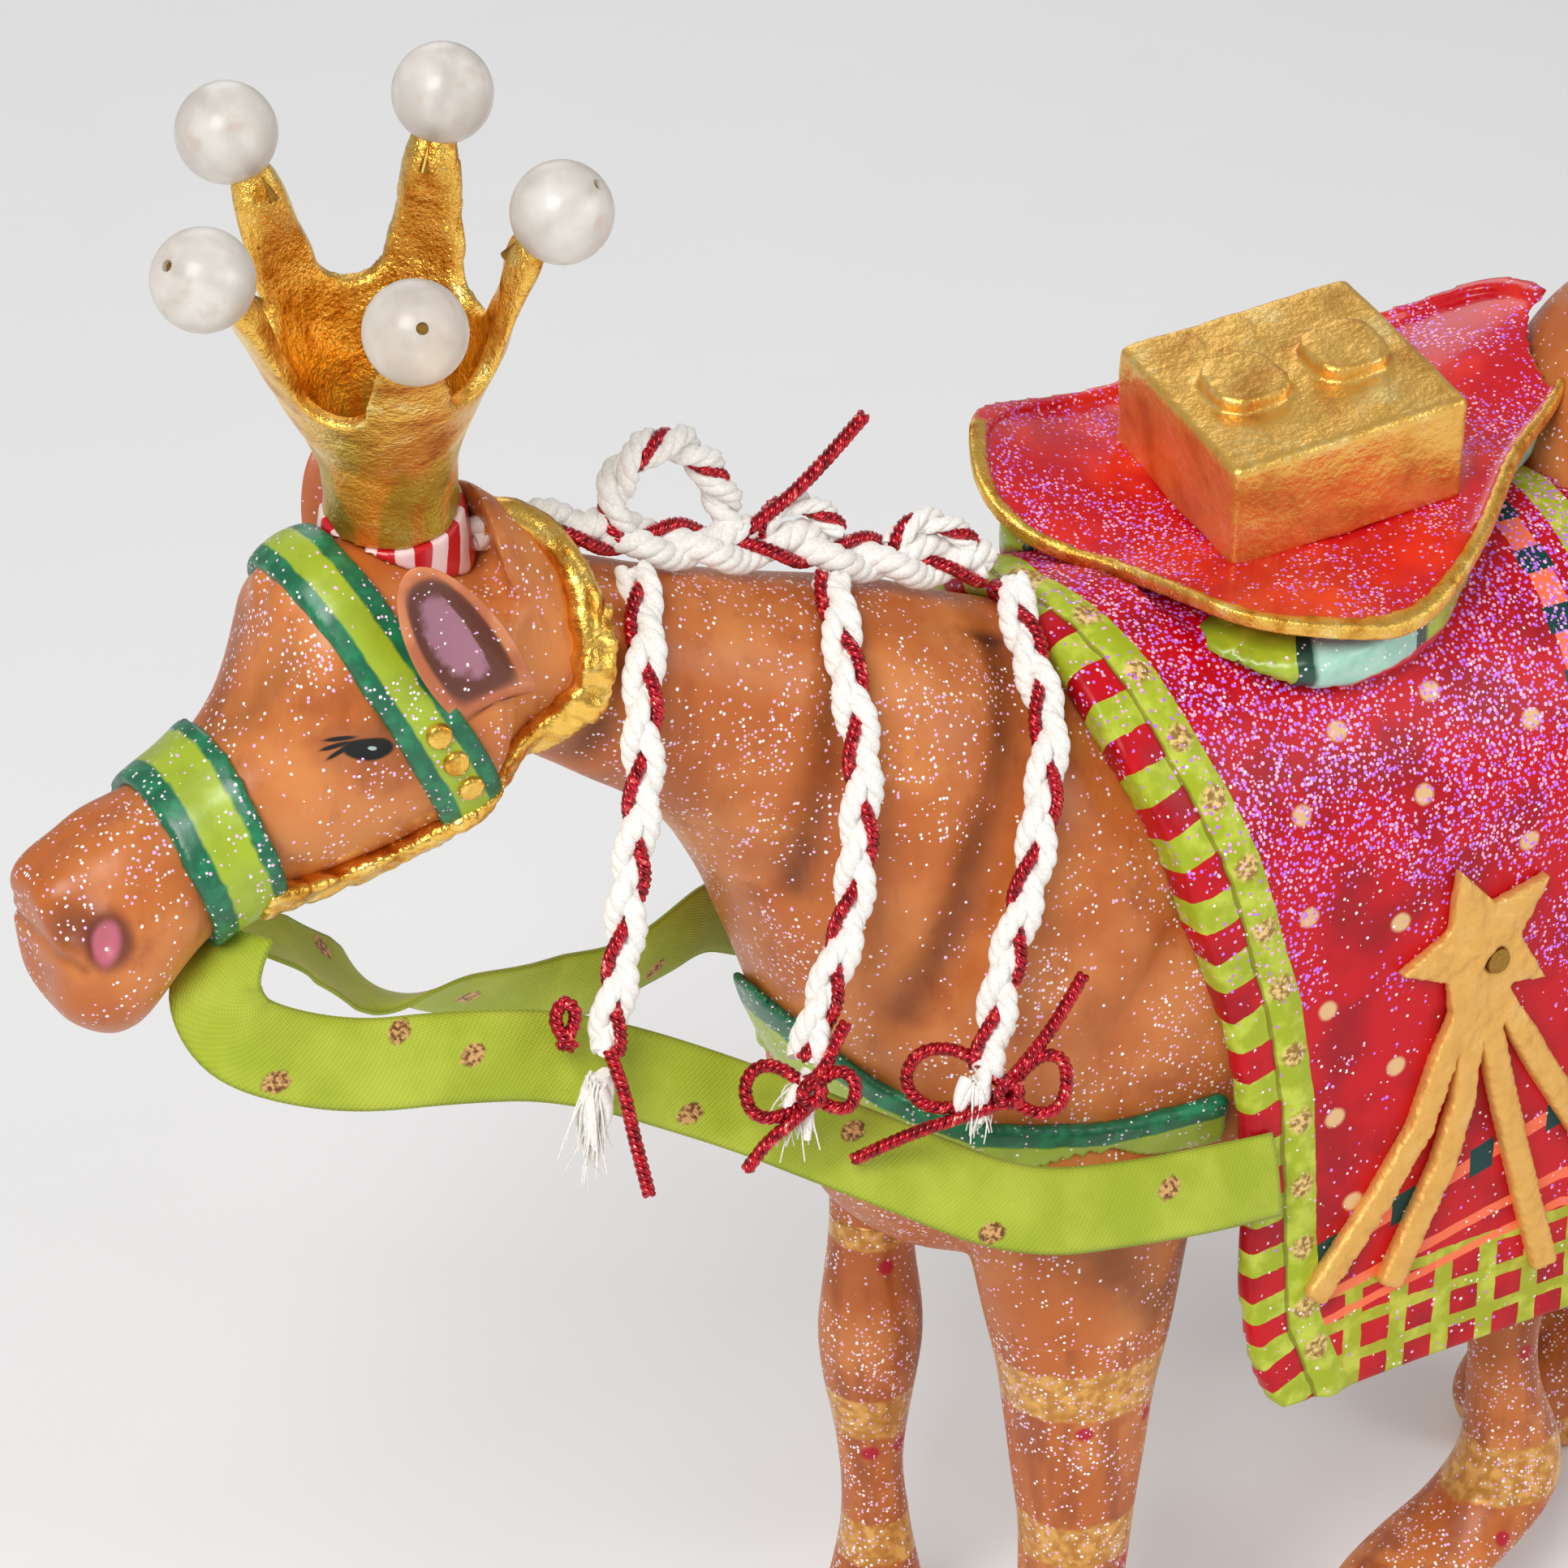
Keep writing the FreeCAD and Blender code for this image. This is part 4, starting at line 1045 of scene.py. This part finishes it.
def route(points):
    """Even points along the smooth spline that a route's points control, in mm."""
    curve = bpy.data.curves.new("route", "CURVE")
    curve.dimensions = "3D"
    curve.resolution_u = 24
    spline = curve.splines.new("NURBS")
    spline.points.add(len(points) - 1)
    for control, place in zip(spline.points, points):
        control.co = (*[c * MM for c in place], 1.0)
    spline.order_u = 3
    spline.use_endpoint_u = True
    mesh = curve_mesh(curve)
    line = np.array([v.co[:] for v in mesh.vertices]) / MM
    bpy.data.meshes.remove(mesh)
    return line


def spaced(line, step):
    run = np.concatenate([[0], np.cumsum(np.linalg.norm(np.diff(line, axis=0), axis=1))])
    marks = np.linspace(0, run[-1], max(4, int(run[-1] / step)))
    return np.stack([np.interp(marks, run, line[:, k]) for k in range(3)], axis=1), marks


def unit(rows):
    return rows / np.linalg.norm(rows, axis=1)[:, None]


def around(line, outward):
    """Sideways and outward directions at each point of a line."""
    along = unit(np.gradient(line, axis=0))
    side = unit(np.cross(along, np.array(outward, float)))
    return side, np.cross(side, along)


def wound(line, marks, outward, reach, pitch, phase):
    side, out = around(line, outward)
    turn = 2 * math.pi * marks / pitch + phase
    return line + reach * (np.cos(turn)[:, None] * side + np.sin(turn)[:, None] * out)


def plies(line, outward, reach, pitch, count=3, step=0.28):
    """The twisted plies that make up one yarn or cord."""
    line, marks = spaced(line, step)
    return [wound(line, marks, outward, reach, pitch, 2 * math.pi * k / count)
            for k in range(count)]


def tubes(bm, lines, radius, slot_index, sides=3, taper=False):
    """Adds closed round tubes along lines to a mesh, in one material slot."""
    curve = bpy.data.curves.new("tubes", "CURVE")
    curve.dimensions, curve.bevel_depth = "3D", radius * MM
    curve.bevel_resolution, curve.use_fill_caps = sides - 2, True
    for line in lines:
        spline = curve.splines.new("POLY")
        spline.points.add(len(line) - 1)
        for k, (control, place) in enumerate(zip(spline.points, line)):
            control.co = (*[c * MM for c in place], 1.0)
            control.radius = 1.0 - 0.6 * k / len(line) if taper else 1.0
    mesh = curve_mesh(curve)
    first = len(bm.faces)
    bm.from_mesh(mesh)
    bm.faces.ensure_lookup_table()
    for face in bm.faces[first:]:
        face.material_index, face.smooth = slot_index, True
    bpy.data.meshes.remove(mesh)


def cotton_finish():
    f = Finish("Cotton_Yarn", sheen_weight=0.35, sheen_roughness=0.5)
    fibre = f.noise(0.35, 4.0, 0.7)
    colour = f.mix(f.rise(fibre, 0.3, 0.7), srgb(236, 230, 220), srgb(255, 254, 250))
    colour = f.mix(f.rise(f.noise(6.0), 0.6, 0.8) * 0.3, colour, srgb(224, 200, 190))
    return f.done(colour, 0.85, 0.0, f.bump(fibre + f.noise(0.18, 2.0), 0.7, 0.12))


def metal_cord_finish():
    f = Finish("Metallic_Red_Cord", coat_weight=0.5, coat_roughness=0.15)
    tone = f.noise(0.9, 3.0)
    colour = f.mix(f.rise(tone, 0.35, 0.6), srgb(130, 6, 22), srgb(206, 22, 44))
    # painted highlights: pale pink glints where the cord's tone is brightest
    colour = f.mix(f.rise(tone, 0.62, 0.70), colour, srgb(255, 140, 124))
    return f.done(colour, 0.26, 0.8, f.bump(tone, 0.4, 0.1))


FACING = np.array(((0.857, -0.515, 0.0), (0.234, 0.389, 0.891), (-0.459, -0.764, 0.454)))
BRAID_WIDE, BRAID_DEEP, BRAID_PITCH, BRAID_DIAMETER = 1.22, 0.62, 17.5, 4.5
YARN_PLY, YARN_TWIST, YARN_RADIUS = 0.46, 5.6, 0.74
CORD_PLY, CORD_TWIST, CORD_RADIUS = 0.42, 2.4, 0.38
ROUTES = {
    "mane_braid": ((-68, 0, 174.5), (-48, -1, 167.9), (-27, -1, 162.4), (-7, -1.4, 155.4)),
    "braid_1": ((-51.5, -4, 166.5), (-55.2, -12.3, 161.5), (-57.5, -15.3, 148), (-60.5, -16.8, 134),
                (-64, -18.5, 120.6)),
    "braid_2": ((-28.6, -4, 160.5), (-31.4, -13.2, 155), (-32.9, -18.8, 142), (-35.4, -20.6, 129),
                (-43, -23.5, 115.8)),
    "braid_3": ((-6.4, -5, 155), (-8.4, -16, 147), (-12.2, -22.4, 138), (-18.3, -25.8, 125),
                (-23.2, -27.5, 110.6)),
}
LOOPS = (
    ((-52.4, -1, 169.8), (-53.0, -1, 176.6), (-47.2, -1, 179.2), (-41.0, 0, 176.4),
     (-37.9, 0, 167.5)),
    ((-35.2, -0.4, 165.5), (-30.1, -0.5, 171.8), (-25.6, -0.9, 164.0)),
    ((-19.0, -1, 160.5), (-13.6, -1, 165.6), (-8.8, -1, 158.5)),
)


def braided(name, line, outward, scale=1.0, phase=0.0):
    """Three strands plaited: two of plied cotton and one of metallic cord."""
    line, marks = spaced(line, 0.28)
    side, out = around(line, outward)
    bm = bmesh.new()
    for k in range(3):
        turn = 2 * math.pi * marks / (BRAID_PITCH * scale) + 2 * math.pi * k / 3 + phase
        strand = line + scale * (BRAID_WIDE * np.sin(turn)[:, None] * side
                                 + BRAID_DEEP * np.sin(2 * turn)[:, None] * out)
        if k < 2:
            tubes(bm, plies(strand, outward, YARN_PLY * scale, YARN_TWIST),
                  YARN_RADIUS * scale, 0, 5)
        else:
            strand = strand + 0.35 * out
            tubes(bm, plies(strand, outward, CORD_PLY, CORD_TWIST, step=0.22), CORD_RADIUS, 1)
    return object_from(name, bm)


def screen(centre, moves):
    """Points given as steps right, up and outwards from a centre, in mm."""
    return [np.array(centre) + np.array(move, float) @ FACING for move in moves]


def fringe(root, way, count, length, spread, seed):
    """Loose cotton fibres that leave a braid's end and droop apart."""
    rng = np.random.default_rng(seed)
    lines = []
    for _ in range(count):
        start = np.array(root) + rng.normal(size=3) * 0.55
        lean = np.array(way) + rng.normal(size=3) * spread
        steps = np.linspace(0, 1, 7)[:, None]
        wave = rng.normal(size=3) * 0.5
        reach = length * rng.uniform(0.6, 1.0)
        lines.append(start + lean * steps * reach + wave * np.sin(steps * 3.2)
                     + (0, 0, -0.6) * steps ** 2)
    return lines


KNOT = ((-1.0, 0.9, 1.0), (0.2, 1.5, 2.9), (1.3, 0.2, 2.9), (0.1, -1.5, 2.7), (-1.3, -0.4, 2.7),
        (-0.2, 1.3, 3.3), (1.3, 0.8, 2.9), (0.9, -1.1, 2.4))
# each braid's end: the middle of its knot, the steps of its cords from there, and its tuft's
# root, direction, number of fibres, length and spread
CORD_PARTS = {
    "braid_1": {
        "centre": (-64.5, -19.0, 120.0),
        "cords": (
            ((-3.2, 1.2, 1), (-5.6, 3.4, 1.5), (-4.2, 6.6, 1.8), (-2.4, 4.2, 1.2),
             (-4.6, 1.2, 0.8)),
            ((0.4, 1.0, 1.0), (2.0, -3.0, 1.4), (3.0, -8.0, 1.2), (4.6, -14.0, 0.8))),
        "tuft": ((-66.0, -19.5, 118.0), (-0.10, -0.1, -0.85), 70, 11.0, 0.13)},
    "braid_2": {
        "centre": (-42.9, -24.6, 112.4),
        "cords": (
            ((0, 0, 1.2), (-3.4, 3.4, 1.8), (-7.2, 2.0, 1.8), (-6.6, -2.6, 1.6), (-2.6, -2.8, 1.6),
             (0.3, 0.2, 1.4)),
            ((0, 0, 1.4), (2.0, 2.6, 2.0), (4.8, 1.6, 2.0), (4.4, -1.8, 1.8), (1.6, -1.6, 1.8),
             (-0.3, 0, 1.4)),
            ((-0.6, 0.6, 1.8), (1.4, 2.4, 2.4), (2.4, 5.0, 1.8), (3.6, 7.2, 1.4)),
            ((0.6, -0.6, 1.8), (-2.0, -3.2, 2.2), (-4.8, -5.2, 1.8), (-6.8, -8.2, 1.2)), KNOT),
        "tuft": ((-43.6, -24.2, 113.6), (-0.25, -0.1, -0.8), 46, 7.5, 0.16)},
    "braid_3": {
        "centre": (-20.9, -28.9, 107.8),
        "cords": (
            ((0, 0, 1.2), (-3.4, 4.4, 1.8), (-9.6, 5.0, 1.8), (-11.6, 0.6, 1.6), (-7.0, -2.6, 1.6),
             (0.3, 0.2, 1.4)),
            ((0, 0, 1.4), (2.4, 4.2, 2.0), (6.4, 4.0, 2.0), (6.0, -1.8, 1.8), (2.0, -2.4, 1.8),
             (-0.3, 0, 1.4)),
            ((-0.6, 0.6, 1.8), (2.4, 4.0, 2.4), (5.4, 8.0, 1.8), (8.0, 12.6, 1.4)),
            ((0.6, -0.6, 1.8), (-5.0, -2.6, 2.2), (-10.8, -4.4, 1.8), (-16.6, -7.2, 1.2)), KNOT),
        "tuft": ((-24.0, -28.0, 109.6), (-0.2, -0.1, -0.7), 46, 6.5, 0.18)},
}
MANE_TAIL = ((-38.1, -1, 166.0), (-34.3, -1.4, 167.9), (-28.8, -1.4, 171.2), (-22, -0.6, 176.3))
LOOP_FACING, LOOP_PITCH = (0, -1, 0.1), 10.0


def mane_extras(bm):
    """Three yarn loops wound with cord, and the loose end of a cord, on the mane braid."""
    for loop, size in zip(LOOPS, (1.0, 0.7, 0.7)):
        strand, marks = spaced(route(loop), 0.28)
        yarn, cord = (0.48 * size, 5.4, 0.76 * size, 0), (0.40, CORD_TWIST, CORD_RADIUS, 1)
        for phase, (reach, pitch, radius, slot_index) in (
                (0.0, yarn), (math.pi, yarn), (math.pi / 2, cord)):
            twist = wound(strand, marks, LOOP_FACING, size, LOOP_PITCH, phase)
            tubes(bm, plies(twist, LOOP_FACING, reach, pitch), radius, slot_index)
    tubes(bm, plies(route(MANE_TAIL), (0, -1, 0), 0.44, CORD_TWIST, step=0.22), 0.40, 1)


def braid_end(bm, index, centre, cords, tuft):
    """A frayed tuft under a knot or bow of metallic cord."""
    root, way, count, length, spread = tuft
    tubes(bm, fringe(root, way, count, length, spread, 70 + index), 0.16, 0, 2, taper=True)
    tubes(bm, fringe(root, way, 9, 0.8 * length, 0.06, 80 + index), 0.85, 0, 4, taper=True)
    for moves in cords:
        tubes(bm, plies(route(screen(centre, moves)), FACING[2], CORD_PLY, 2.3, step=0.2), 0.37, 1)


class HORSE_OT_braids(bpy.types.Operator):
    """Braided mane with three hanging plaits, yarn loops, bows and frayed ends."""
    bl_idname = "horse.braids"
    bl_label = "Mane and Braids"

    def execute(self, context):
        cotton, metal = cotton_finish(), metal_cord_finish()
        for index, (name, points) in enumerate(ROUTES.items()):
            line = route(points)
            crest = name == "mane_braid"
            look, scale = ((-0.25, -0.6, 0.75), 1.36) if crest else ((-0.35, -0.85, 0.35), 1.02)
            braid = braided(name + "_plait", line, look, scale, 1.3 * index)
            extra = bmesh.new()
            if crest:
                mane_extras(extra)
            else:
                braid_end(extra, index, **CORD_PARTS[name])
            ends = object_from(name + "_ends", extra)
            for piece in (braid, ends):
                finished(piece, "cotton_yarn", cotton, metal)
            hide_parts(name)
            if crest:
                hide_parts("mane_loops")
            elif name == "braid_2":
                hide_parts("braid_bows")
        return {"FINISHED"}


REIN_ROUTES = {
    "rein_left": (
        (-98.5, -4.5, 137.6), (-102.3, -6.5, 135.2), (-103, -8.5, 131.5), (-100.5, -10.3, 127.7),
        (-90.4, -12, 123.2), (-78.9, -13, 121.6), (-66, -13.8, 118.5), (-48.1, -17, 108.8),
        (-31.3, -23, 98.7), (-18.3, -28.7, 91.2), (-4, -30.8, 89.6), (8, -31.6, 88.6),
        (13.5, -31.7, 88.2)),
    "rein_right": (
        (-96.5, 3, 134.2), (-90.1, 4, 130.8), (-85.0, 5.5, 126.0), (-78.7, 8, 119.8),
        (-71.5, 9.5, 116.2), (-64.2, 10.5, 113.6), (-54.1, 12, 110.2), (-46.0, 13, 109.0),
        (-38.0, 15, 110.0), (-30.0, 18.5, 110.5), (-18, 27.0, 102), (-6, 30.8, 95),
        (4, 31.6, 90.0), (13.5, 31.7, 88.2)),
}
# each ribbon's breadth turns from one direction to another between two lengths along it
REIN_LEAN = {"rein_left": ((0.85, -0.235, 0.463), (0.23, 0.39, 0.89), 4.0, 20.0),
             "rein_right": ((-0.62, -0.70, 0.30), (-0.2, -0.3, 0.93), 22.0, 50.0)}
REIN_DOTS = ((17, -2.8), (30, 3.1), (38, 0.2), (65, -2.4), (84, 1.8), (103, -3.3), (124, 1.0))
REIN_WIDTH, REIN_THICK, REIN_STEP, REIN_COLUMNS = 9.5, 0.42, 0.62, 10
WARP_PITCH, WEFT_PITCH = 0.62, 0.5


def ribbon_finish():
    """Woven lime ribbon with firm selvedges and dabs of copper glitter."""
    f = Finish("Rein_Ribbon", sheen_weight=0.2, sheen_roughness=0.4)
    u, v, _ = f.uv("Weave")
    warp = f.maths("SINE", (u + v * 0.55) * (2 * math.pi / WARP_PITCH))
    weft = f.maths("SINE", (v - u * 0.1) * (2 * math.pi / WEFT_PITCH))
    weave = warp * weft * 0.5 + 0.5
    colour = f.mix(weave * 0.45, own_colour("ribbon"), srgb(132, 150, 18))
    colour = f.mix(f.rise(f.noise(10.0), 0.4, 0.7) * 0.4, colour, srgb(206, 216, 78))
    edge = f.rise(abs(v), 4.3, 4.6)
    colour = f.mix(edge * 0.45, colour, srgb(120, 134, 20))
    dots = 0.0
    for along, across in REIN_DOTS:
        shaky = (f.noise(1.0, 3.0) - 0.5) * 0.9
        dots = f.ellipse(u + shaky, v + shaky, (along, across), (1.5, 1.1), 35.0, 0.2) + dots
    copper = f.mottle(0.5, srgb(120, 74, 40), srgb(226, 176, 110), 0.4, 0.6)
    colour = f.mix(dots, colour, copper)
    height = weave + edge * 0.6 + dots * 0.5
    return f.done(colour, 0.62 - 0.2 * dots, 0.5 * f.maths("MINIMUM", dots, 1.0),
                  f.bump(height, 0.6, 0.12))


class HORSE_OT_reins(bpy.types.Operator):
    """Two woven ribbon reins, slack from the noseband to the blanket's edge."""
    bl_idname = "horse.reins"
    bl_label = "Reins"

    def execute(self, context):
        woven = ribbon_finish()
        for name, points in REIN_ROUTES.items():
            line = route(points)
            even, marks = spaced(line, REIN_STEP)
            rows = len(even) - 1
            along = unit(np.gradient(even, axis=0))
            first, rest, low, high = REIN_LEAN[name]
            turned = np.clip((marks - low) / (high - low), 0, 1)[:, None]
            lean = np.array(first) * (1 - turned) + np.array(rest) * turned
            side = unit(lean - along * (along * lean).sum(axis=1)[:, None])
            out = np.cross(along, side)
            bm = bmesh.new()
            bmesh.ops.create_grid(bm, x_segments=rows, y_segments=REIN_COLUMNS, size=1.0)
            weave = bm.loops.layers.uv.new("Weave")
            for v in bm.verts:
                row = min(rows, max(0, round((v.co.x + 1) / 2 * rows)))
                across = v.co.y
                ruffle = 0.25 * math.sin(marks[row] * 0.33) * across + 0.5 * (1 - across ** 2)
                place = even[row] + side[row] * across * REIN_WIDTH / 2 + out[row] * ruffle
                v.co = Vector(place) * MM
            for face in bm.faces:
                for loop in face.loops:
                    place = np.array(loop.vert.co) / MM
                    row = int(np.argmin(np.linalg.norm(even - place, axis=1)))
                    loop[weave].uv = (marks[row], float((place - even[row]) @ side[row]))
            rein = object_from(name + "_ribbon", bm)
            wall = rein.modifiers.new("Thickness", "SOLIDIFY")
            wall.thickness, wall.offset = REIN_THICK * MM, 0.0
            smooth_shaded(applied(rein))
            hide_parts(name)
            finished(rein, "rein_ribbon", woven)
        return {"FINISHED"}


# ------------------------------------------------------------------ stage
LOOK_AT = Vector((-31.5, 0.0, 135.0)) * MM
BACK = Vector((-0.4589, -0.7637, 0.4540))
STAND_OFF = 0.540
FLOOR_HALF = 6.0
# each lamp: where it stands, its size, and its share of the key light's power
LAMPS = {
    "Key_Light": ((-0.75, -0.55, 0.95), 0.55, 1.0),
    "Side_Light": ((0.75, -0.85, 0.55), 0.5, 0.26),
    "Rim_Light": ((0.3, 0.9, 0.8), 0.6, 0.16),
}


class HORSE_OT_stage(bpy.types.Operator):
    """Pale floor, soft lights and the camera."""
    bl_idname = "horse.stage"
    bl_label = "Stage"

    def execute(self, context):
        s = settings()
        scene = bpy.context.scene
        camera = bpy.data.cameras.new("Camera")
        camera.sensor_fit, camera.sensor_width, camera.lens = "HORIZONTAL", 36.0, s.lens
        camera.clip_start, camera.clip_end = 0.01, 20.0
        holder = link(bpy.data.objects.new("Camera", camera))
        holder.location = LOOK_AT + BACK * STAND_OFF
        holder.rotation_euler = (-BACK).to_track_quat("-Z", "Y").to_euler()
        scene.camera = holder

        bm = bmesh.new()
        bmesh.ops.create_grid(bm, x_segments=2, y_segments=2, size=FLOOR_HALF)
        floor = object_from("stage_floor", bm)
        f = Finish("Floor_Paper")
        white = f.mix(f.noise(40.0), srgb(250, 250, 250), srgb(253, 253, 253))
        floor.data.materials.append(f.done(white, 0.9))

        world = bpy.data.worlds.new("Studio")
        world.use_nodes = True
        sky = world.node_tree.nodes["Background"]
        sky.inputs["Color"].default_value = (1.0, 1.0, 1.0, 1.0)
        sky.inputs["Strength"].default_value = s.fill_light
        scene.world = world
        for name, (place, size, share) in LAMPS.items():
            light = bpy.data.lights.new(name, "AREA")
            light.size, light.energy = size, s.key_light * share
            lamp = link(bpy.data.objects.new(name, light))
            lamp.location = place
            lamp.rotation_euler = (LOOK_AT - Vector(place)).to_track_quat("-Z", "Y").to_euler()
        scene.view_settings.view_transform = "Standard"
        return {"FINISHED"}


# ------------------------------------------------------------------ settings, panel and run
class PackHorseSettings(bpy.types.PropertyGroup):
    """Sizes and colours of the ornament that a user may change."""
    skin_colour: FloatVectorProperty(
        name="Skin", description="Terracotta of the cast body", subtype="COLOR",
        default=srgb(186, 100, 42), min=0, max=1)
    lime_colour: FloatVectorProperty(
        name="Lime", description="Lime enamel of the straps", subtype="COLOR",
        default=srgb(162, 184, 38), min=0, max=1)
    red_colour: FloatVectorProperty(
        name="Red", description="Red of the blanket and the saddle dish", subtype="COLOR",
        default=srgb(200, 2, 22), min=0, max=1)
    gold_colour: FloatVectorProperty(
        name="Gold", description="Gold leaf of the crown, trim and casket", subtype="COLOR",
        default=srgb(246, 196, 92), min=0, max=1)
    ribbon_colour: FloatVectorProperty(
        name="Ribbon", description="Woven ribbon of the reins", subtype="COLOR",
        default=srgb(164, 180, 30), min=0, max=1)
    lens: FloatProperty(
        name="Lens", description="Focal length of the camera", unit="CAMERA", default=114.7, min=10)
    key_light: FloatProperty(
        name="Key Light", description="Power of the main soft light", unit="POWER",
        default=11.0, min=0)
    fill_light: FloatProperty(
        name="Fill Light", description="Strength of the light from all round", default=0.38, min=0)


class HORSE_PT_panel(bpy.types.Panel):
    """Lists the ornament's pieces and settings."""
    bl_idname = "HORSE_PT_panel"
    bl_label = "Pack Horse"
    bl_space_type = "VIEW_3D"
    bl_region_type = "UI"
    bl_category = "Pack Horse"

    def draw(self, context):
        for name in PackHorseSettings.__annotations__:
            self.layout.prop(context.scene.pack_horse, name)
        for operator in OPERATORS:
            self.layout.operator(operator.bl_idname)


OPERATORS = (HORSE_OT_stage, HORSE_OT_braids, HORSE_OT_reins, HORSE_OT_skin, HORSE_OT_tail,
             HORSE_OT_ears, HORSE_OT_straps, HORSE_OT_crown, HORSE_OT_saddle, HORSE_OT_blanket)


def register():
    for kind in (PackHorseSettings, *OPERATORS, HORSE_PT_panel):
        bpy.utils.register_class(kind)
    bpy.types.Scene.pack_horse = PointerProperty(type=PackHorseSettings)


def unregister():
    del bpy.types.Scene.pack_horse
    for kind in (HORSE_PT_panel, *reversed(OPERATORS), PackHorseSettings):
        bpy.utils.unregister_class(kind)


def main():
    register()
    for operator in OPERATORS:
        group, name = operator.bl_idname.split(".")
        getattr(getattr(bpy.ops, group), name)()


if __name__ == "__main__":
    main()
